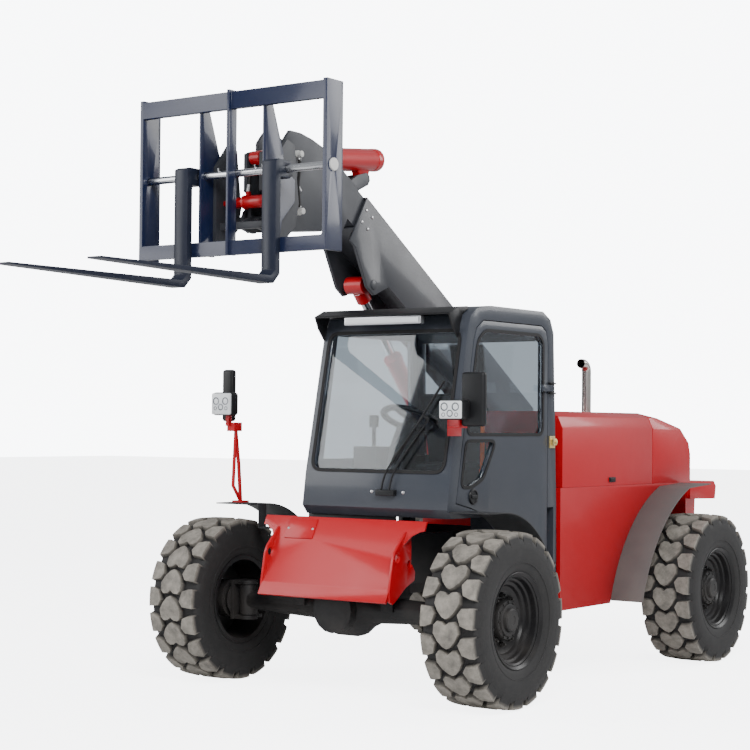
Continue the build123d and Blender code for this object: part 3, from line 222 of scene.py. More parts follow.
def finish_coat(name, colour, rough=0.4, dust=0.2, high=0.7, metal=0.0, coat=0.0, bump=0.04,
                grain=260.0, mottle=0.04, dust_colour=(0.34, 0.3, 0.26)):
    """A solid finish with the shared weathering: colour, wear of the gloss and fine grain."""
    made, tree, shader = new_material(name)
    skin = tree.nodes.new("ShaderNodeGroup")
    skin.node_tree = weather
    feed(skin, {
        "Paint": (*colour, 1), "Dust": (*dust_colour, 1), "Dust Amount": dust, "Dust Height": high,
        "Roughness": rough, "Mottle": mottle, "Grain Scale": grain,
    })
    relief = add_node(tree, "ShaderNodeBump", {
        "Strength": bump, "Distance": 0.002, "Height": skin.outputs["Height"],
    })
    feed(shader, {
        "Base Color": skin.outputs["Colour"], "Roughness": skin.outputs["Roughness"],
        "Normal": relief.outputs["Normal"], "Metallic": metal, "Coat Weight": coat,
        "Coat Roughness": 0.12, "Specular IOR Level": 0.3,
    })
    return made


# Faces are shaded smooth, and edges sharper than the angle stay crisp.
SHAPE, SHAPE_TREE = "NodeSocketGeometry", "GeometryNodeTree"
smooth_tree, given, result = add_group(
    "Smooth below angle", (("Geometry", SHAPE, None), ("Angle", NUMBER, radians(32))),
    (("Geometry", SHAPE),), SHAPE_TREE,
)
smooth = add_node(smooth_tree, "GeometryNodeSetShadeSmooth", {"Geometry": given.outputs["Geometry"]})
bend = add_node(smooth_tree, "GeometryNodeInputMeshEdgeAngle")
over = add_node(smooth_tree, "FunctionNodeCompare", {
    "A": bend.outputs["Unsigned Angle"], "B": given.outputs["Angle"],
}, "GREATER_THAN")
sharp = add_node(smooth_tree, "GeometryNodeSetShadeSmooth", {
    "Geometry": smooth.outputs["Geometry"], "Selection": over.outputs["Result"], "Shade Smooth": False,
})
sharp.domain = "EDGE"
feed(result, {"Geometry": sharp.outputs["Geometry"]})
smooth_angle = smooth_tree.interface.items_tree["Angle"].identifier


def dress(names, material, edge=0.003, angle=32):
    """Gives CAD pieces their finish, softened edges and smooth round faces."""
    for name in names.split():
        piece = nodes[name]
        piece.data.materials.clear()
        piece.data.materials.append(material)
        weld = piece.modifiers.new("Weld", "WELD")
        weld.merge_threshold = 0.00005
        if edge:
            soften = piece.modifiers.new("Edge", "BEVEL")
            soften.width = edge
            soften.segments = 2
            soften.limit_method = "ANGLE"
            soften.angle_limit = radians(40)
            soften.harden_normals = False
        shading = piece.modifiers.new("Shading", "NODES")
        shading.node_group = smooth_tree
        shading[smooth_angle] = radians(angle)


frame_black = finish_coat("frame black", (0.012, 0.013, 0.015), rough=0.42, dust=0.35, high=1.0)
dress("chassis_frame side_tank", frame_black)
engine_iron = finish_coat("engine iron", (0.045, 0.047, 0.05), rough=0.6, dust=0.4, high=1.6)
dress("engine_block", engine_iron)
body_red = finish_coat(
    "body red", (0.46, 0.001, 0.007), rough=0.36, dust=0.06, high=0.75, coat=0.25, bump=0.02
)
dress("tail", body_red, edge=0.012)

# ---- Hood and rear bodywork
# Pressed and welded sheet: a side-hinged hood, the fixed rear hood with its sloping end, and the
# body sides that run down to the step and round the rear wheel. Gloss red, folded edges.
dress("hood rear_hood", body_red, edge=0.014)
dress("body_sides", body_red, edge=0.004)

# ---- Fenders
# Rolled sheet arches bolted to the cab, the frame and the body sides: the front pair is painted
# black, the rear pair a warm grey with a row of rivets along the body.
fender_grey = finish_coat(
    "fender grey", (0.115, 0.105, 0.102), rough=0.5, dust=0.2, high=1.5, bump=0.05
)
dress("rear_fenders", fender_grey)
fender_black = finish_coat("fender black", (0.018, 0.02, 0.023), rough=0.5, dust=0.2, high=1.4)
dress("front_fenders", fender_black)


def keep(mesh, name, material, body):
    """Puts a finished mesh into the scene as a piece that rides a body."""
    mesh.name = name
    if material:
        mesh.materials.clear()
        mesh.materials.append(material)
    piece = bpy.data.objects.new(name, mesh)
    bpy.context.collection.objects.link(piece)
    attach(piece, body)
    return piece


def mesh_of(form, smooth=35):
    """A plain mesh from a bmesh, doubles merged, normals outward, shaded by angle."""
    bmesh.ops.remove_doubles(form, verts=form.verts, dist=0.00002)
    bmesh.ops.recalc_face_normals(form, faces=form.faces)
    mesh = bpy.data.meshes.new("form")
    form.to_mesh(mesh)
    form.free()
    for face in mesh.polygons:
        face.use_smooth = True
    mesh.set_sharp_from_angle(angle=radians(smooth))
    return mesh


def ring_of(form, middle, side, other, radius, steps):
    """Adds a ring of points about a middle, in the plane of two directions."""
    turns = [tau * k / steps for k in range(steps)]
    return [
        form.verts.new(middle + side * (radius * cos(turn)) + other * (radius * sin(turn)))
        for turn in turns
    ]


def skin_rings(form, rings, closed=False):
    """Adds faces from each ring to the next, and from the last to the first where closed."""
    for a, b in list(zip(rings, rings[1:])) + [(rings[-1], rings[0])] * closed:
        for k in range(len(a)):
            n = (k + 1) % len(a)
            form.faces.new((a[k], a[n], b[n], b[k]))


def turned_form(form, profile, centre, along, steps=24, closed=False):
    """Adds a solid of revolution to a bmesh: (along, radius) stations about an axis."""
    along = Vector(along).normalized()
    side = along.orthogonal().normalized()
    other = along.cross(side)
    rings = []
    for offset, radius in profile:
        middle = Vector(centre) + along * offset
        if radius < 0.00001:
            rings.append([form.verts.new(middle)])
            continue
        rings.append(ring_of(form, middle, side, other, radius, steps))
    pairs = list(zip(rings, rings[1:]))
    if closed:
        pairs.append((rings[-1], rings[0]))
    for a, b in pairs:
        for k in range(steps):
            n = (k + 1) % steps
            corners = [a[k % len(a)], a[n % len(a)], b[n % len(b)], b[k % len(b)]]
            unique = list(dict.fromkeys(corners))
            if len(unique) > 2:
                form.faces.new(unique)
    if not closed:
        for ring in (rings[0], rings[-1]):
            if len(ring) > 2:
                form.faces.new(ring)


def keep_studs(name, material, body, points, facing, radius, height, sides=12, smooth=25):
    """Keeps one piece of domed heads, one at each point, standing on a surface facing one way."""
    form = bmesh.new()
    dome = ((-0.002, radius), (height * 0.35, radius), (height * 0.8, radius * 0.72), (height, 0))
    for point in points:
        turned_form(form, dome, point, facing, sides)
    return keep(mesh_of(form, smooth), name, material, body)


def y_at(behind):
    """Metres behind the front axle as a y in the frame."""
    return behind - 0.8


bolt_zinc = finish_coat("bright zinc", (0.62, 0.6, 0.52), rough=0.3, dust=0.2, metal=1.0, bump=0.02)
rivet_points = []
for k in range(12):
    turn = radians(172 - k * 7.2)
    rivet_points.append((0.7815, y_at(2.796) + 0.756 * cos(turn), 0.48 + 0.8 * sin(turn)))
keep_studs(
    "fender_rivets", bolt_zinc, "machine", rivet_points, (1, 0, 0), 0.0085, 0.005, smooth=35,
)

# ---- Cab
# A welded box of tube and plate, hollow, with bonded glass. Blue-grey paint, black rubber round
# the panes. The door hangs on two black hinges at its rear post.
cab_grey = finish_coat(
    "cab grey", (0.038, 0.044, 0.057), rough=0.36, dust=0.12, high=1.5, coat=0.25, bump=0.03
)
dress("cab_frame", cab_grey, edge=0.018)
dress("cab_door", cab_grey, edge=0.005)
black_satin = finish_coat("satin black", (0.009, 0.0095, 0.011), rough=0.4, dust=0.1, high=1.2)
dress("visor", black_satin, edge=0.003)
dress("door_hinges", black_satin, edge=0.002)
cab_glazing, _, glass_shader = new_material("cab glazing")
feed(glass_shader, {
    "Base Color": (0.86, 0.93, 0.98, 1), "Roughness": 0.02, "IOR": 1.45, "Transmission Weight": 1.0,
})
dress("cab_glass door_glass", cab_glazing, edge=0)
rubber_seal = finish_coat("seal rubber", (0.01, 0.01, 0.011), rough=0.6, dust=0.15, bump=0.02)


def seal_strip(loop, inward, body, name, width=0.016, depth=0.012):
    """A rubber strip round a window: a square section carried along a closed loop of points."""
    form = bmesh.new()
    count = len(loop)
    facing = Vector(inward)
    rings = []
    for n in range(count):
        here, before, after = Vector(loop[n]), Vector(loop[n - 1]), Vector(loop[(n + 1) % count])
        first = (here - before).normalized().cross(facing)
        second = (after - here).normalized().cross(facing)
        mid_in = (first + second).normalized()
        reach = mid_in * (width / max(first.dot(mid_in), 0.4))
        rings.append([
            form.verts.new(here), form.verts.new(here + reach),
            form.verts.new(here + reach + facing * depth), form.verts.new(here + facing * depth),
        ])
    skin_rings(form, rings, closed=True)
    return keep(mesh_of(form), name, rubber_seal, body)


def rounded_loop(corners, radius, steps=5):
    """A closed outline with its corners rounded off, as 2-D points."""
    result_points = []
    count = len(corners)
    for n in range(count):
        here = Vector(corners[n])
        before, after = Vector(corners[n - 1]), Vector(corners[(n + 1) % count])
        cut_in = min(radius, (before - here).length * 0.45, (after - here).length * 0.45)
        a = here + (before - here).normalized() * cut_in
        b = here + (after - here).normalized() * cut_in
        for k in range(steps + 1):
            t = k / steps
            result_points.append((1 - t) ** 2 * a + 2 * t * (1 - t) * here + t * t * b)
    return result_points


cab_face = 0.78
upper_pane = rounded_loop(
    [(0.15, 1.66), (0.268, 2.235), (0.35, 2.3), (1.03, 2.3), (1.076, 2.26), (1.076, 1.66)], 0.05
)
lower_pane = rounded_loop(
    [(0.086, 1.33), (0.14, 1.6), (0.47, 1.6), (0.33, 1.38), (0.2, 1.33)], 0.04
)
for name, pane in (("upper_door_seal", upper_pane), ("lower_door_seal", lower_pane)):
    loop = [(cab_face - 0.004, y_at(y), z) for y, z in pane]
    seal_strip(loop, (1, 0, 0), "door", name, width=-0.02, depth=0.008)
lean = 200 / 935
screen_low, screen_high = 1.425, 2.29


def screen_point(x, z):
    """A point on the windscreen's outer face."""
    return (x, y_at(-0.05 + (z - 1.395) * lean) - 0.001, z)


screen_loop = [screen_point(x, z) for x, z in rounded_loop(
    [(-0.275, screen_low), (0.72, screen_low), (0.72, screen_high), (-0.275, screen_high)], 0.06
)]
screen_out = Vector((0, -1, lean)).normalized()
seal_strip(screen_loop, screen_out, "machine", "windscreen_seal", width=0.022, depth=0.006)

# ---- Axles and knuckles
# Cast steering axles with a central differential, bolted under the frame, and open knuckles
# pinned at their ends. Black paint, lightly dusted.
axle_black = finish_coat(
    "axle black", (0.008, 0.008, 0.009), rough=0.45, dust=0.16, high=0.9, bump=0.2, grain=90,
)
dress("front_axle rear_axle", axle_black, edge=0.006)
corners = ("front_left", "front_right", "rear_left", "rear_right")
dress(" ".join("knuckle_" + corner for corner in corners), axle_black, edge=0.004)

# ---- Tyres
# Moulded rubber casings with deep blocks: one row of heart-shaped blocks round the middle and,
# half a pitch on, a row of shoulder blocks over each edge. Dusty faces, black grooves and walls.
tyre_radius, tread_root, tread_count = 0.5375, 0.503, 19
block_side, face_start = 0.188, 0.5155
flank_line = [
    (0.165, 0.286), (0.178, 0.3), (0.19, 0.325), (0.193, 0.345), (0.199, 0.36), (0.2, 0.4),
    (0.199, 0.44), (0.194, 0.468), (0.18, 0.49), (0.15, 0.5), (0.08, tread_root),
]
casing = [(-x, radius) for x, radius in flank_line] + [(0, tread_root + 0.002)]
casing += flank_line[::-1] + [(0.165, 0.269), (-0.165, 0.269)]


def crown(x):
    """The tread's outer radius across the tyre."""
    return tyre_radius - 0.009 * (abs(x) / 0.186) ** 3


def tread_block(form, plan, root):
    """Adds one block: a plan of (across, around) bent onto the casing, its sides drafted."""
    middle_x = sum(x for x, _ in plan) / len(plan)
    middle_t = sum(t for _, t in plan) / len(plan)
    low, high = [], []
    for x, t in plan:
        for ring, spread_by, radius in ((low, 1.06, root), (high, 0.97, crown(x))):
            across = middle_x + (x - middle_x) * spread_by
            turn = (middle_t + (t - middle_t) * spread_by) / tyre_radius
            reach = radius if ring is high else min(root, tread_root - 0.03 * max(0, abs(x) - 0.15) / 0.036)
            ring.append(form.verts.new((across, -reach * sin(turn), reach * cos(turn))))
    count = len(plan)
    for n in range(count):
        form.faces.new((low[n], low[(n + 1) % count], high[(n + 1) % count], high[n]))
    form.faces.new(high)
    form.faces.new(low[::-1])


one_pitch = bmesh.new()
heart = [
    (0.0, -0.05), (0.026, -0.07), (0.06, -0.074), (0.082, -0.052), (0.086, 0.0),
    (0.06, 0.048), (0.026, 0.082), (0.0, 0.094),
]
tread_block(one_pitch, heart + [(-x, t) for x, t in heart[-2:0:-1]], 0.5)
shoulder = [
    (0.078, 0.06), (0.104, 0.022), (0.182, 0.014), (0.182, 0.146), (0.15, 0.144), (0.1, 0.126),
    (0.092, 0.104),
]
for side in (1, -1):
    tread_block(one_pitch, [(side * x, t) for x, t in shoulder], 0.5)
    flank = []
    for x, radius in ((0.179, 0.527), (0.185, 0.5), (0.196, 0.462), (0.198, 0.44), (0.182, 0.47)):
        for t in (0.022, 0.136):
            turn = t / tyre_radius
            flank.append(one_pitch.verts.new((side * x, -radius * sin(turn), radius * cos(turn))))
    for k in range(0, 8, 2):
        one_pitch.faces.new((flank[k], flank[k + 1], flank[k + 3], flank[k + 2]))
    one_pitch.faces.new((flank[8], flank[9], flank[1], flank[0]))
    one_pitch.faces.new([flank[k] for k in (0, 2, 4, 6, 8)])
    one_pitch.faces.new([flank[k] for k in (1, 3, 5, 7, 9)])
for t in (-0.04, 0.0, 0.04, 0.08, 0.115):
    turn = t / tyre_radius
    everything = list(one_pitch.verts) + list(one_pitch.edges) + list(one_pitch.faces)
    bmesh.ops.bisect_plane(
        one_pitch, geom=everything, plane_co=(0, 0, 0), plane_no=(0, cos(turn), sin(turn)),
    )
for vertex in one_pitch.verts:
    reach = (vertex.co.y ** 2 + vertex.co.z ** 2) ** 0.5
    if abs(vertex.co.x) < block_side and reach > face_start:
        stretch = min(crown(vertex.co.x), tyre_radius) / reach
        vertex.co.y *= stretch
        vertex.co.z *= stretch
block_mesh = mesh_of(one_pitch, smooth=30)


# Copies of a shape set round the X axis, made real, with their material fixed.
ring_tree, given, result = add_group(
    "Round an axle",
    (("Geometry", SHAPE, None), ("Count", "NodeSocketInt", None), ("Material", "NodeSocketMaterial", None)),
    (("Geometry", SHAPE),), SHAPE_TREE,
)
count = given.outputs["Count"]
line = add_node(ring_tree, "GeometryNodeMeshLine", {"Count": count, "Offset": (0, 0, 0)})
index = add_node(ring_tree, "GeometryNodeInputIndex")
step = add_node(ring_tree, "ShaderNodeMath", {0: tau, 1: count}, "DIVIDE")
angle = add_node(ring_tree, "ShaderNodeMath", {0: step.outputs[0], 1: index.outputs[0]}, "MULTIPLY")
turn = add_node(ring_tree, "ShaderNodeCombineXYZ", {"X": angle.outputs[0]})
copies = add_node(ring_tree, "GeometryNodeInstanceOnPoints", {
    "Points": line.outputs[0], "Instance": given.outputs["Geometry"], "Rotation": turn.outputs[0],
})
real = add_node(ring_tree, "GeometryNodeRealizeInstances", {0: copies.outputs[0]})
paint = add_node(ring_tree, "GeometryNodeSetMaterial", {
    "Geometry": real.outputs[0], "Material": given.outputs["Material"],
})
feed(result, {0: paint.outputs[0]})
ring_sockets = ring_tree.interface.items_tree


def set_round(mesh, count, material):
    """A plain mesh of copies of one shape set round the X axis."""
    carrier = bpy.data.objects.new("carrier", mesh)
    bpy.context.collection.objects.link(carrier)
    steps = carrier.modifiers.new("Round", "NODES")
    steps.node_group = ring_tree
    steps[ring_sockets["Count"].identifier] = count
    steps[ring_sockets["Material"].identifier] = material
    ready = carrier.evaluated_get(bpy.context.evaluated_depsgraph_get())
    made = bpy.data.meshes.new_from_object(ready)
    bpy.data.objects.remove(carrier)
    return made


def joined(meshes, places=None):
    """One mesh out of several, each moved by its own matrix."""
    form = bmesh.new()
    for n, mesh in enumerate(meshes):
        part_mesh = mesh.copy()
        if places:
            part_mesh.transform(places[n])
        form.from_mesh(part_mesh)
        bpy.data.meshes.remove(part_mesh)
    whole = bpy.data.meshes.new("whole")
    form.to_mesh(whole)
    form.free()
    return whole


rubber, rubber_tree, rubber_shader = new_material("tyre rubber")
worn = add_node(rubber_tree, "ShaderNodeAttribute")
worn.attribute_name = "tread_face"
where = add_node(rubber_tree, "ShaderNodeTexCoord")
smudge = add_node(rubber_tree, "ShaderNodeTexNoise", {
    "Vector": where.outputs["Object"], "Scale": 14.0, "Detail": 8.0, "Roughness": 0.7,
})
patchy = add_node(rubber_tree, "ShaderNodeMapRange", {
    "Value": smudge.outputs["Fac"], "From Min": 0.3, "From Max": 0.7, "To Min": 0.35,
})
scuffed = add_node(rubber_tree, "ShaderNodeMath", {
    0: worn.outputs["Fac"], 1: patchy.outputs["Result"],
}, "MULTIPLY")
rubber_colour = add_node(rubber_tree, "ShaderNodeMix", {
    "Factor": scuffed.outputs[0], "A": (0.008, 0.008, 0.009, 1), "B": (0.36, 0.33, 0.285, 1),
}, "RGBA")
pores = add_node(rubber_tree, "ShaderNodeBump", {
    "Strength": 0.25, "Distance": 0.002, "Height": smudge.outputs["Fac"],
})
feed(rubber_shader, {
    "Base Color": rubber_colour.outputs["Result"], "Normal": pores.outputs["Normal"],
    "Roughness": 0.72,
})

across_x = (1, 0, 0)
casing_form = bmesh.new()
turned_form(casing_form, casing, (0, 0, 0), across_x, steps=96, closed=True)
for x, radius in ((0.1955, 0.352), (0.1965, 0.428)):
    for side in (-1, 1):
        turned_form(
            casing_form,
            ((side * (x - 0.004), radius + 0.006), (side * (x + 0.003), radius + 0.003),
             (side * (x + 0.003), radius - 0.003), (side * (x - 0.004), radius - 0.006)),
            (0, 0, 0), across_x, steps=96, closed=True,
        )
casing_mesh = mesh_of(casing_form, smooth=40)
blocks_mesh = set_round(block_mesh, tread_count, rubber)
tyre_mesh = joined((casing_mesh, blocks_mesh))
face_mark = tyre_mesh.attributes.new("tread_face", "FLOAT", "POINT")
for vertex in tyre_mesh.vertices:
    reach = (vertex.co.y ** 2 + vertex.co.z ** 2) ** 0.5
    on_face = reach > crown(vertex.co.x) - 0.003 and abs(vertex.co.x) < block_side
    face_mark.data[vertex.index].value = 0.85 if on_face else 0.03


def wheel_place(node):
    """A wheel's matrix from the node it replaces, turned about on the machine's right."""
    low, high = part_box(node)
    centre = (low + high) / 2
    turn = Matrix.Identity(4) if centre.x > 0 else Matrix.Rotation(pi, 4, "Z")
    return Matrix.Translation((centre.x, centre.y, tyre_radius)) @ turn


for corner in corners:
    mesh = tyre_mesh.copy()
    mesh.transform(wheel_place("tyre_" + corner))
    tyre = keep(mesh, "tread_tyre_" + corner, rubber, "wheel_" + corner)
    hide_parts("tyre_" + corner)

# ---- Rims and hubs
# A stepped steel disc welded in a drop-centre rim, bolted with ten studs to the dark planetary
# hub, which has its own ring of small cover screws. Black paint with a slight sheen.
rim_black = finish_coat("rim black", (0.008, 0.008, 0.009), rough=0.32, dust=0.1, high=0.9, bump=0.05)
hub_iron = finish_coat(
    "hub iron", (0.013, 0.013, 0.014), rough=0.45, dust=0.2, high=0.9, bump=0.25, grain=120,
)
rim_form = bmesh.new()
rim_profile = (
    (0.177, 0.286), (0.18, 0.29), (0.177, 0.2935), (0.168, 0.29), (0.164, 0.278), (0.1635, 0.2675),
    (-0.1635, 0.2675), (-0.164, 0.278), (-0.168, 0.29), (-0.177, 0.2935), (-0.18, 0.288),
    (-0.174, 0.262), (-0.11, 0.256), (-0.04, 0.246), (0.03, 0.238), (0.036, 0.128),
    (0.056, 0.128), (0.058, 0.168), (0.062, 0.186), (0.07, 0.204), (0.086, 0.212), (0.092, 0.232),
    (0.112, 0.238), (0.118, 0.252), (0.15, 0.258), (0.16, 0.268),
)
turned_form(rim_form, rim_profile, (0, 0, 0), across_x, steps=72, closed=True)
rim_mesh = mesh_of(rim_form, smooth=30)


def turned_mesh(turns, smooth=30):
    """One mesh of turned shapes, each a profile, a centre, an axis and its steps."""
    form = bmesh.new()
    for profile, centre, along, steps in turns:
        turned_form(form, profile, centre, along, steps)
    return mesh_of(form, smooth)


hub_profile = (
    (-0.098, 0.1235), (0.062, 0.1235), (0.064, 0.1235), (0.1, 0.121), (0.106, 0.117), (0.108, 0.1),
    (0.117, 0.097), (0.12, 0.09), (0.119, 0.074), (0.134, 0.07), (0.141, 0.062), (0.142, 0.03),
    (0.139, 0.027), (0.139, 0),
)
stud_at, screw_at = (0, 0, 0.148), (0, 0, 0.1085)
hub_mesh = turned_mesh([(hub_profile, (0, 0, 0), across_x, 48)])
stud_mesh = turned_mesh((
    (((0.052, 0.019), (0.066, 0.019), (0.067, 0.0165), (0.076, 0.0165)), stud_at, across_x, 6),
    (((0.07, 0.0085), (0.09, 0.0085), (0.092, 0.006), (0.092, 0)), stud_at, across_x, 10),
), 25)
studs_mesh = set_round(stud_mesh, 10, hub_iron)
screw_profile = ((0.106, 0.0075), (0.113, 0.0075), (0.114, 0.006), (0.114, 0))
screws_mesh = set_round(turned_mesh([(screw_profile, screw_at, across_x, 6)], 25), 12, hub_iron)
for corner in corners:
    place_it = wheel_place("rim_" + corner)
    mesh = rim_mesh.copy()
    mesh.transform(place_it)
    rim = keep(mesh, "stepped_rim_" + corner, rim_black, "wheel_" + corner)
    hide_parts("rim_" + corner)
    mesh = joined((hub_mesh, studs_mesh, screws_mesh), (place_it,) * 3)
    keep(mesh, "hub_" + corner, hub_iron, "wheel_" + corner)

# ---- Front plate
# Folded plate across the nose with a lip, and an ear at each side for lashing. Gloss red, with a
# screwed round-cornered cover.
dress("front_plate", body_red, edge=0.004)
screw_zinc = finish_coat("screw zinc", (0.55, 0.55, 0.56), rough=0.28, metal=1.0, dust=0.2, bump=0.02)
keep_studs(
    "cover_screws", screw_zinc, "machine", [(x, y_at(-0.1222), 1.035) for x in (-0.412, -0.218)],
    (0, -0.887, 0.463), 0.009, 0.004, smooth=35,
)

# ---- Boom
# Two box sections of welded plate, the inner sliding on wear pads in the outer, with thick head
# plates that carry the carriage. Blue-grey paint, a little paler on the worn inner section.
boom_grey = finish_coat(
    "boom grey", (0.036, 0.039, 0.047), rough=0.38, dust=0.1, high=4.0, coat=0.2, bump=0.04,
)
dress("boom_outer boom_tower", boom_grey, edge=0.005)
head_grey = finish_coat("head grey", (0.034, 0.037, 0.045), rough=0.4, dust=0.1, high=4.0, bump=0.05)
dress("boom_inner", head_grey, edge=0.003)
slope_cos, slope_sin = cos(radians(32)), sin(radians(32))
boom_x, pivot_y, pivot_z = -0.52, 1.95, 1.64


def boom_at(x, along, up):
    """A frame point from the boom's own along and up, and how far left of its middle."""
    return (
        boom_x + x,
        pivot_y - along * slope_cos + up * slope_sin,
        pivot_z + along * slope_sin + up * slope_cos,
    )


for side, side_name in ((-1, "right"), (1, "left")):
    places = ((2.5, 0.1), (2.58, 0.1), (2.5, 0.2), (2.58, 0.2))
    keep_studs(
        "pad_bolts_" + side_name, screw_zinc, "boom",
        [boom_at(side * 0.14, along, up) for along, up in places], (side, 0, 0), 0.012, 0.008, 6,
    )
cover_turns = []
for side in (-1, 1):
    facing = (side, 0, 0)
    cover_turns.append((
        ((0.145, 0.0), (0.145, 0.052), (0.158, 0.052), (0.162, 0.047), (0.162, 0.0)),
        (boom_x, pivot_y, pivot_z), facing, 32,
    ))
    for k in range(3):
        spot = (boom_x, pivot_y + 0.03 * cos(tau * k / 3), pivot_z + 0.03 * sin(tau * k / 3))
        cover_turns.append((((0.16, 0.009), (0.169, 0.009), (0.169, 0)), spot, facing, 6))
keep(turned_mesh(cover_turns), "pivot_covers", black_satin, "boom")

# ---- Lift and tilt cylinders
# Drawn tube barrels with glands, painted red, and ground chrome rods. The rod eyes are forged
# and painted with the barrel.
cylinder_red = finish_coat(
    "cylinder red", (0.46, 0.001, 0.006), rough=0.32, dust=0.1, high=1.5, coat=0.35, bump=0.02,
)
chrome = finish_coat(
    "rod chrome", (0.78, 0.78, 0.8), rough=0.12, metal=1.0, dust=0.05, bump=0.01, mottle=0.02,
)
dress("lift_barrel tilt_barrel", cylinder_red, edge=0.002)
dress("lift_rod tilt_rod", chrome, edge=0.001)
lift_foot, lift_eye = Vector((boom_x, 1.51, 0.95)), Vector(boom_at(0, 2.235, -0.18))
lift_axis = (lift_eye - lift_foot).normalized()
keep(turned_mesh((
    (((-0.136, 0.034), (-0.136, 0.05), (-0.133, 0.0535), (-0.05, 0.0535), (-0.04, 0.04)),
     lift_eye, lift_axis, 32),
    (((-0.0705, 0.0), (-0.0705, 0.061), (0.0705, 0.061), (0.0705, 0.0)), lift_eye, across_x, 36),
)), "lift_rod_eye", cylinder_red, "lift_rod")
tilt_cap, tilt_eye = Vector((boom_x, y_at(0.97), 3.57)), Vector((boom_x, y_at(-0.345), 3.42))
tilt_axis = (tilt_eye - tilt_cap).normalized()
keep(turned_mesh((
    (((-0.0385, 0.0), (-0.0385, 0.046), (0.0385, 0.046), (0.0385, 0.0)), tilt_eye, across_x, 32),
    (((-0.075, 0.035), (-0.072, 0.041), (-0.03, 0.041)), tilt_eye, tilt_axis, 28),
)), "tilt_rod_eye", cylinder_red, "tilt_rod")
cap_profiles = [(
    (-0.02, 0.0), (-0.02, 0.046), (-0.012, 0.062), (0.0, 0.076), (0.012, 0.0812), (0.06, 0.0812),
    (0.062, 0.08),
)]
for start in (0.76, 0.792):
    cap_profiles.append((
        (start - 0.003, 0.08), (start, 0.0865), (start + 0.006, 0.0865), (start + 0.009, 0.08),
    ))
keep(turned_mesh([
    (profile, tilt_cap, tilt_axis, 36) for profile in cap_profiles
]), "tilt_barrel_ends", cylinder_red, "tilt_barrel")

# ---- Coupler and lock cylinder
# A welded carrier hung on the boom's pin: two wings that hook the carriage, two arms for the
# tilt cylinder and a small red cylinder that drives the lock pins.
dress("coupler", head_grey, edge=0.003)
dress("lock_cylinder", cylinder_red, edge=0.002)
lock_y, lock_z = y_at(-0.4), 3.13
port = ((0.05, 0.0), (0.05, 0.016), (0.066, 0.016), (0.068, 0.012), (0.08, 0.01), (0.08, 0))
lock_turns = [
    (((0.03, 0.0), (0.03, 0.046), (0.036, 0.048), (0.06, 0.048), (0.066, 0.043)),
     (boom_x + 0.125, lock_y, lock_z), across_x, 28),
    (((-0.002, 0.04), (0.0, 0.046), (0.018, 0.046), (0.02, 0.04)),
     (boom_x - 0.062, lock_y, lock_z), across_x, 28),
]
for x in (boom_x - 0.03, boom_x + 0.15):
    lock_turns.append((port, (x, lock_y, lock_z), (0, 0, 1), 12))
keep(turned_mesh(lock_turns), "lock_cylinder_fittings", cylinder_red, "carriage")

# ---- Fork carriage, forks and shaft
# Flame-cut plate and flat bar welded to a frame, painted navy blue. The forks are forged and hang
# on a bright bar with small pegs as stops.
carriage_blue = finish_coat(
    "carriage blue", (0.004, 0.01, 0.04), rough=0.34, dust=0.06, high=5.0, coat=0.35, bump=0.03,
)
fork_steel = finish_coat(
    "fork steel", (0.007, 0.011, 0.025), rough=0.38, dust=0.06, high=5.0, bump=0.06, grain=120,
)
dress("fork_carriage", carriage_blue, edge=0.003)
dress("fork_left fork_right", fork_steel, edge=0.004)
bright_steel = finish_coat(
    "bright shaft", (0.62, 0.63, 0.65), rough=0.22, metal=1.0, dust=0.1, high=5.0, bump=0.02,
)
dress("fork_shaft", bright_steel, edge=0.001)
shaft_y, shaft_z = y_at(-0.56), 3.293
peg = ((0.018, 0.007), (0.044, 0.007), (0.046, 0.005), (0.046, 0))
keep(turned_mesh([
    (peg, (x, shaft_y, shaft_z), (0, -0.3, 1), 10) for x in (-0.66, -0.36, -0.3)
]), "shaft_pegs", bright_steel, "carriage")
pale_cap = finish_coat("pale shaft end", (0.62, 0.62, 0.6), rough=0.4, dust=0.1, bump=0.02)
shaft_end = ((0.764, 0.0), (0.764, 0.04), (0.775, 0.04), (0.779, 0.036), (0.779, 0))
keep(turned_mesh([
    (shaft_end, (boom_x, shaft_y, shaft_z), (side, 0, 0), 32) for side in (-1, 1)
]), "shaft_ends", pale_cap, "carriage")


# ---- Hoses and couplings at the head
# Black rubber hoses with crimped steel ends loop between the quick couplings on the boom's head
# and run to the lock cylinder on the carrier.
def tube_through(form, points, radius, steps=10, smooth_steps=8):
    """Adds a round tube through points, rounded by a Catmull-Rom curve."""
    spots = [Vector(p) for p in points]
    ends = [2 * spots[0] - spots[1]] + spots + [2 * spots[-1] - spots[-2]]
    path = []
    for n in range(1, len(ends) - 2):
        for k in range(smooth_steps):
            t = k / smooth_steps
            a, b, c, d = ends[n - 1:n + 3]
            bend, sweep = 2 * a - 5 * b + 4 * c - d, 3 * b - a - 3 * c + d
            path.append(0.5 * (2 * b + (c - a) * t + bend * t ** 2 + sweep * t ** 3))
    path.append(spots[-1])
    side = (path[1] - path[0]).orthogonal().normalized()
    rings = []
    for n, spot in enumerate(path):
        ahead_by = (path[min(n + 1, len(path) - 1)] - path[max(n - 1, 0)]).normalized()
        side = (side - ahead_by * side.dot(ahead_by)).normalized()
        rings.append(ring_of(form, spot, side, ahead_by.cross(side), radius, steps))
    skin_rings(form, rings)
    form.faces.new(rings[0][::-1])
    form.faces.new(rings[-1])


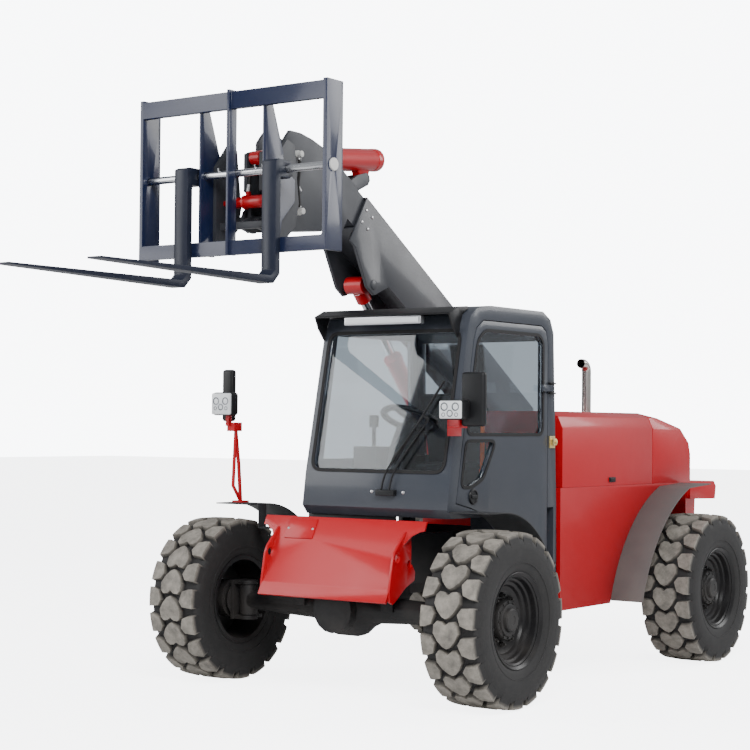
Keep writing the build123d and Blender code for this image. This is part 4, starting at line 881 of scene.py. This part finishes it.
hose_black = finish_coat("hose rubber", (0.012, 0.012, 0.013), rough=0.5, dust=0.2, high=4.0, bump=0.08)
hose_form = bmesh.new()
ferrules = bmesh.new()
head_hoses = [[(boom_x + x, lock_y + y, lock_z + z) for x, y, z in route] for route in (
    ((0.15, 0, 0.08), (0.165, 0.005, 0.17), (0.175, 0.1, 0.22), (0.165, 0.22, 0.16),
     (0.15, 0.3, 0.1)),
    ((-0.03, 0, 0.08), (-0.026, 0.01, 0.19), (-0.03, 0.07, 0.27)),
)] + [[(boom_x + x, y, z) for x, y, z in route] for route in (
    ((0.16, -1.02, 3.4), (0.205, -1.06, 3.33), (0.205, -1.1, 3.22), (0.185, -1.06, 3.1),
     (0.16, -0.98, 3.05)),
    ((0.16, -0.92, 3.44), (0.215, -0.98, 3.36), (0.21, -0.99, 3.25), (0.18, -0.94, 3.14),
     (0.15, -0.9, 3.1)),
)]
for route in head_hoses:
    tube_through(hose_form, route, 0.01)
    for tip, inner in ((route[0], route[1]), (route[-1], route[-2])):
        turned_form(
            ferrules, ((-0.012, 0.0), (-0.012, 0.0145), (0.03, 0.0145), (0.034, 0.012)),
            tip, Vector(inner) - Vector(tip), 12,
        )
keep(mesh_of(hose_form, 60), "head_hoses", hose_black, "carriage")
keep(mesh_of(ferrules, 30), "hose_ends", screw_zinc, "carriage")
coupling = (
    (0.118, 0.0), (0.118, 0.02), (0.132, 0.02), (0.132, 0.026), (0.158, 0.026), (0.16, 0.021),
    (0.186, 0.021), (0.188, 0.016), (0.188, 0.0),
)
keep(turned_mesh([
    (coupling, (boom_x, y, z), across_x, 16)
    for y, z in ((-1.02, 3.42), (-0.92, 3.46), (-0.99, 3.05), (-0.9, 3.09))
]), "quick_couplings", pale_cap, "telescope")

# ---- Exhaust
# Bent stainless tube, open ahead, that stands out of the rear hood through a black collar.
# Brushed, a little dusty at the foot.
stainless = finish_coat(
    "stainless tube", (0.6, 0.57, 0.53), rough=0.22, metal=1.0, dust=0.08, high=2.4, bump=0.03,
)
stack_x, stack_y = 0.18, y_at(2.79)
pipe = bmesh.new()
path = [(stack_x, stack_y, 1.702), (stack_x, stack_y, 2.123)]
for k in range(1, 9):
    turn = radians(k * 90 / 8)
    path.append((stack_x, stack_y - 0.06 * (1 - cos(turn)), 2.125 + 0.06 * sin(turn)))
path.append((stack_x, stack_y - 0.09, 2.185))
outer_rings, inner_rings = [], []
for n, spot in enumerate(path):
    ahead_by = (Vector(path[min(n + 1, len(path) - 1)]) - Vector(path[max(n - 1, 0)])).normalized()
    across = Vector(across_x)
    for rings, radius in ((outer_rings, 0.0355), (inner_rings, 0.0325)):
        rings.append(ring_of(pipe, Vector(spot), across, ahead_by.cross(across), radius, 32))
for rings in (outer_rings, inner_rings):
    skin_rings(pipe, rings)
for end in (0, -1):
    skin_rings(pipe, (outer_rings[end], inner_rings[end]))
stack = keep(mesh_of(pipe, 40), "exhaust_stack", stainless, "machine")
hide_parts("exhaust")
ring_form = bmesh.new()
turned_form(
    ring_form, ((0, 0.037), (0, 0.058), (0.004, 0.058), (0.01, 0.041), (0.01, 0.037)),
    (stack_x, stack_y, 1.786), (0, 0, 1), 32, closed=True,
)
keep(mesh_of(ring_form, 30), "exhaust_collar", black_satin, "machine")

# ---- Lamp and mirror arms
# Steel, painted red: the right arm is two bent tubes on a foot plate, the left one a short
# bracket bolted to the cab's front post.
dress("lamp_brackets", body_red, edge=0.0015)

# ---- Work lamps
# Moulded black housings on the arms' ends, each with a white bezel and five LED cups: two wide
# ones above, one in the middle below and a small one at each lower corner.
def soft_box(form, low, high, radius, steps=4):
    """Adds a block with all its edges rounded to a bmesh."""
    block = bmesh.new()
    bmesh.ops.create_cube(block, size=1)
    size = Vector(high) - Vector(low)
    middle = (Vector(high) + Vector(low)) / 2
    for vertex in block.verts:
        vertex.co = Vector((vertex.co.x * size.x, vertex.co.y * size.y, vertex.co.z * size.z)) + middle
    bmesh.ops.bevel(
        block, geom=list(block.edges) + list(block.verts), offset=radius, segments=steps, profile=0.5,
        affect="EDGES", clamp_overlap=True,
    )
    shape = bpy.data.meshes.new("soft")
    block.to_mesh(shape)
    block.free()
    form.from_mesh(shape)
    bpy.data.meshes.remove(shape)


lamp_white = finish_coat(
    "lamp bezel", (0.74, 0.76, 0.78), rough=0.25, dust=0.06, high=3.0, coat=0.5, bump=0.01,
)
led_glow, led_tree, led_shader = new_material("led cup")
cup_place = add_node(led_tree, "ShaderNodeTexCoord")
cup_cells = add_node(led_tree, "ShaderNodeTexVoronoi", {
    "Vector": cup_place.outputs["Object"], "Scale": 160.0,
})
cup_ramp = add_node(led_tree, "ShaderNodeMapRange", {
    "Value": cup_cells.outputs["Distance"], "To Min": 0.1, "To Max": 0.5,
})
feed(led_shader, {
    "Roughness": cup_ramp.outputs["Result"], "Base Color": (0.16, 0.17, 0.19, 1), "Metallic": 0.85,
})
lamp_spots = ((0.9, -1.045, -0.94, 1.74, 1.86, 0.085), (-0.98, -0.945, -0.855, 1.76, 1.915, 0.0875))
housings, bezels, cups = bmesh.new(), bmesh.new(), bmesh.new()
for x, front, back, low, high, half in lamp_spots:
    soft_box(housings, (x - half, front + 0.008, low), (x + half, back, high), 0.022)
    soft_box(
        bezels, (x - half + 0.006, front, low + 0.006), (x + half - 0.006, front + 0.02, high - 0.006),
        0.0095,
    )
    middle = (low + high) / 2
    for dx, dz, radius in (
        (-0.04, 0.018, 0.026), (0.04, 0.018, 0.026), (0.0, -0.022, 0.022), (-0.046, -0.03, 0.013),
        (0.046, -0.03, 0.013),
    ):
        turned_form(
            cups, (
                (0.001, radius), (-0.0015, radius), (-0.002, radius * 0.8), (0.004, radius * 0.45),
                (0.006, 0.0),
            ),
            (x + dx, front, middle + dz), (0, 1, 0), 20,
        )
lamps = keep(mesh_of(housings, 40), "lamp_housings", black_satin, "machine")
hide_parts("work_lamps")
keep(mesh_of(bezels, 40), "lamp_bezels", lamp_white, "machine")
keep(mesh_of(cups, 40), "lamp_cups", led_glow, "machine")

# ---- Mirrors
# Moulded black shells, tall and rounded, held by the lamp arms, each with a thin mirror glass
# that faces the operator.
mirror_glass = finish_coat(
    "mirror glass", (0.8, 0.82, 0.85), rough=0.03, metal=1.0, dust=0.03, high=3.0, bump=0.0,
)
shells, panes = bmesh.new(), bmesh.new()
for low, high in (
    ((0.9053, -0.932, 1.7), (1.07, -0.884, 2.03)), ((-1.074, -0.825, 1.72), (-0.98, -0.775, 2.07)),
):
    soft_box(shells, low, high, 0.02)
    soft_box(
        panes, (low[0] + 0.012, high[1] - 0.003, low[2] + 0.018),
        (high[0] - 0.012, high[1] + 0.001, high[2] - 0.018), 0.0018,
    )
shell = keep(mesh_of(shells, 40), "mirror_shells", black_satin, "machine")
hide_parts("mirrors")
keep(mesh_of(panes, 40), "mirror_panes", mirror_glass, "machine")

# ---- Light bar
# A ribbed aluminium extrusion with a long pale lens, hung under the visor by two studs on its
# top.
aluminium = finish_coat(
    "light bar aluminium", (0.66, 0.67, 0.69), rough=0.3, metal=0.9, dust=0.08, high=3.0, bump=0.02,
)
bar_low, bar_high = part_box("light_bar")
bar_form = bmesh.new()
soft_box(bar_form, bar_low, bar_high, 0.006)
for k in range(5):
    z = bar_low.z + 0.008 + k * 0.009
    soft_box(
        bar_form, (bar_low.x + 0.01, bar_high.y - 0.002, z),
        (bar_high.x - 0.01, bar_high.y + 0.004, z + 0.004), 0.001, 1,
    )
for share in (0.28, 0.72):
    stud_x = bar_low.x + (bar_high.x - bar_low.x) * share
    turned_form(
        bar_form, ((-0.004, 0.0), (-0.004, 0.009), (0.0, 0.009), (0.0, 0.0)),
        (stud_x, (bar_low.y + bar_high.y) / 2, bar_high.z), (0, 0, 1), 12,
    )
bar = keep(mesh_of(bar_form, 40), "light_bar_body", aluminium, "machine")
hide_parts("light_bar")
lens_form = bmesh.new()
soft_box(
    lens_form, (bar_low.x + 0.02, bar_low.y - 0.004, bar_low.z + 0.01),
    (bar_high.x - 0.02, bar_low.y + 0.002, bar_high.z - 0.012), 0.002,
)
keep(mesh_of(lens_form, 40), "light_bar_lens", lamp_white, "machine")

# ---- Door furniture
# A round moulded handle low on the door, black, and a yellow zinc-plated catch screwed to the
# cab's rear post.
handle = bmesh.new()
turned_form(
    handle, (
        (0.0, 0.0), (0.0, 0.048), (0.005, 0.05), (0.01, 0.047), (0.012, 0.04), (0.006, 0.036),
        (0.005, 0.0),
    ),
    (cab_face, y_at(0.215), 1.262), across_x, 36,
)
soft_box(handle, (cab_face + 0.003, y_at(0.185), 1.252), (cab_face + 0.016, y_at(0.247), 1.272), 0.004)
keep(mesh_of(handle, 35), "door_handle", black_satin, "door")
catch = bmesh.new()
soft_box(catch, (cab_face + 0.0005, y_at(1.165), 1.56), (cab_face + 0.01, y_at(1.235), 1.64), 0.002)
soft_box(catch, (cab_face + 0.008, y_at(1.178), 1.578), (cab_face + 0.034, y_at(1.222), 1.624), 0.005)
turned_form(
    catch, ((0.03, 0.0), (0.03, 0.012), (0.042, 0.012), (0.044, 0.009), (0.044, 0)),
    (cab_face, y_at(1.2), 1.601), (1, 0, 0), 16,
)
zinc_yellow = finish_coat(
    "yellow zinc", (0.7, 0.56, 0.26), rough=0.35, metal=0.9, dust=0.15, high=2.0, bump=0.03,
)
keep(mesh_of(catch, 35), "door_catch", zinc_yellow, "machine")

# ---- Wiper
# Two parallel steel arms and a long blade, all black, from a pivot plate low on the cab's front
# panel. Zinc-plated nuts and screws hold the plate and the panel.
wiper = bmesh.new()


def on_screen(x, z, out=0.0):
    """A point on the windscreen, or that far in front of it."""
    return Vector(screen_point(x, z)) + screen_out * out


def on_panel(x, z, out=0.0):
    """A point on the cab's front panel below the windscreen."""
    return Vector((x, y_at(-0.08 + (z - 1.185) * 30 / 210), z)) + Vector((0, -1, 0.14)).normalized() * out


soft_box(wiper, (0.255, y_at(-0.105), 1.262), (0.395, y_at(-0.062), 1.3), 0.006)
for x_low, x_high, z_high in ((0.29, 0.545, 1.76), (0.35, 0.59, 1.74)):
    tube_through(wiper, (
        on_panel(x_low, 1.29, 0.022), on_panel(x_low + 0.02, 1.38, 0.028),
        on_screen(x_low + 0.07, 1.48, 0.026), on_screen(x_high, z_high, 0.024),
    ), 0.006, 8)
for spots, radius in (
    (((0.36, 1.46, 0.012), (0.51, 1.72, 0.015), (0.66, 1.98, 0.012)), 0.008),
    (((0.545, 1.76, 0.024), (0.565, 1.75, 0.02), (0.59, 1.74, 0.024)), 0.01),
):
    tube_through(wiper, [on_screen(*spot) for spot in spots], radius, 8)
keep(mesh_of(wiper, 50), "wiper_arms", black_satin, "machine")
panel_out = (0, -1, 0.14)
keep_studs(
    "wiper_nuts", screw_zinc, "machine", [on_panel(x, 1.281, 0.024) for x in (0.292, 0.352)],
    panel_out, 0.012, 0.01, 6,
)
keep_studs(
    "front_panel_screws", screw_zinc, "machine", [on_panel(x, 1.285, 0.0) for x in (0.205, 0.445)],
    panel_out, 0.011, 0.008,
)

# ---- Seat
# A sprung seat bolted to the cab's floor: stitched black fabric over foam cushions, a moulded
# black base and a post, with an orange belt at its left side.
seat_cloth, cloth_tree, cloth_shader = new_material("seat cloth")
cloth_place = add_node(cloth_tree, "ShaderNodeTexCoord")
cloth_wave = add_node(cloth_tree, "ShaderNodeTexWave", {
    "Vector": cloth_place.outputs["Object"], "Scale": 190.0, "Distortion": 1.5,
})
cloth_mix = add_node(cloth_tree, "ShaderNodeMix", {
    "Factor": cloth_wave.outputs["Fac"], "A": (0.01, 0.01, 0.012, 1), "B": (0.034, 0.034, 0.038, 1),
}, "RGBA")
cloth_bump = add_node(cloth_tree, "ShaderNodeBump", {
    "Strength": 0.3, "Distance": 0.001, "Height": cloth_wave.outputs["Fac"],
})
feed(cloth_shader, {
    "Base Color": cloth_mix.outputs["Result"], "Normal": cloth_bump.outputs["Normal"],
    "Roughness": 0.85,
})
seat_x = 0.215


def cushion(name, low, high, lean_back, puff, pleats):
    """A padded block, pleated along its face, leaning back about its lower rear edge."""
    form = bmesh.new()
    across, along = 24, 28
    size = Vector(high) - Vector(low)
    grid = {}
    for i in range(across + 1):
        for j in range(along + 1):
            u, v = i / across, j / along
            edge = min(1.0, 4.5 * min(u, 1 - u), 4.5 * min(v, 1 - v)) ** 0.5
            seam = 1 - min(1, (v * pleats) % 1.0 * 12) if 0.05 < v < 0.95 else 0
            rise = puff * edge - 0.006 * seam
            grid[i, j, 1] = form.verts.new((low[0] + size.x * u, low[1] + size.y * v, high[2] - puff + rise))
            grid[i, j, 0] = form.verts.new((low[0] + size.x * u, low[1] + size.y * v, low[2]))
    for i in range(across):
        for j in range(along):
            form.faces.new((grid[i, j, 1], grid[i + 1, j, 1], grid[i + 1, j + 1, 1], grid[i, j + 1, 1]))
            form.faces.new((grid[i, j, 0], grid[i, j + 1, 0], grid[i + 1, j + 1, 0], grid[i + 1, j, 0]))
    for i in range(across):
        for j in (0, along):
            form.faces.new((grid[i, j, 0], grid[i + 1, j, 0], grid[i + 1, j, 1], grid[i, j, 1]))
    for j in range(along):
        for i in (0, across):
            form.faces.new((grid[i, j, 0], grid[i, j, 1], grid[i, j + 1, 1], grid[i, j + 1, 0]))
    to_hinge, back = Matrix.Translation((0, -high[1], -low[2])), Matrix.Translation((0, high[1], low[2]))
    turn = back @ Matrix.Rotation(lean_back, 4, "X") @ to_hinge
    bmesh.ops.transform(form, matrix=turn, verts=form.verts)
    piece = keep(mesh_of(form, 50), name, seat_cloth, "machine")
    return piece


cushion(
    "seat_cushion", (seat_x - 0.235, y_at(0.495), 1.352), (seat_x + 0.235, y_at(0.93), 1.468), radians(4),
    0.035, 3,
)
back_low, back_high = (seat_x - 0.215, y_at(0.36), 1.355), (seat_x + 0.215, y_at(0.925), 1.445)
cushion("seat_back", back_low, back_high, radians(-77), 0.035, 4)
cushion(
    "seat_headrest", (seat_x - 0.12, y_at(0.8), 2.0), (seat_x + 0.12, y_at(1.055), 2.058), radians(-78),
    0.022, 1,
)
seat_frame = bmesh.new()
soft_box(seat_frame, (seat_x - 0.17, y_at(0.56), 1.1603), (seat_x + 0.17, y_at(0.9), 1.35), 0.02)
soft_box(seat_frame, (seat_x - 0.06, y_at(0.975), 1.42), (seat_x + 0.06, y_at(1.0), 1.6), 0.01)
seat_base = keep(mesh_of(seat_frame, 40), "seat_base", black_satin, "machine")
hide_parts("seat")
belt_orange = finish_coat(
    "belt webbing", (0.72, 0.13, 0.015), rough=0.7, dust=0.05, high=2.0, bump=0.3, grain=900,
)
belt = bmesh.new()
soft_box(belt, (seat_x + 0.236, y_at(0.82), 1.4), (seat_x + 0.242, y_at(0.87), 1.95), 0.002)
soft_box(belt, (seat_x + 0.228, y_at(0.81), 1.37), (seat_x + 0.25, y_at(0.88), 1.42), 0.004)
keep(mesh_of(belt, 40), "seat_belt", belt_orange, "machine")

# ---- Steering column and console
# Moulded black covers over the column and the right console with its joystick. The wheel has
# three spokes and a round rim covered in black plastic.
dress("controls", black_satin, edge=0.006)
wheel_middle = Vector((seat_x, y_at(0.345), 1.745))
wheel_up = Vector((0, 0.42, 0.9)).normalized()
wheel_form = bmesh.new()
wheel_side = Vector((1, 0, 0))
wheel_other = wheel_up.cross(wheel_side)
rim_radius, grip_radius, rim_steps, grip_steps = 0.182, 0.017, 40, 12
rings = []
for k in range(rim_steps):
    turn = tau * k / rim_steps
    spot = wheel_middle + wheel_side * (rim_radius * cos(turn)) + wheel_other * (rim_radius * sin(turn))
    away = (spot - wheel_middle).normalized()
    rings.append(ring_of(wheel_form, spot, away, wheel_up, grip_radius, grip_steps))
skin_rings(wheel_form, rings, closed=True)
keep(mesh_of(wheel_form, 60), "steering_wheel_rim", black_satin, "machine")

# ---- Hood latch
# A small black paddle latch, moulded in two parts and let into the side of the hood low at its
# rear end.
latch = bmesh.new()
side_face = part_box("hood")[1].x
soft_box(latch, (side_face - 0.001, y_at(2.005), 1.315), (side_face + 0.008, y_at(2.095), 1.35), 0.003)
soft_box(latch, (side_face + 0.006, y_at(2.015), 1.322), (side_face + 0.014, y_at(2.06), 1.343), 0.003)
keep(mesh_of(latch, 40), "hood_latch", black_satin, "hood")
low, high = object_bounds()
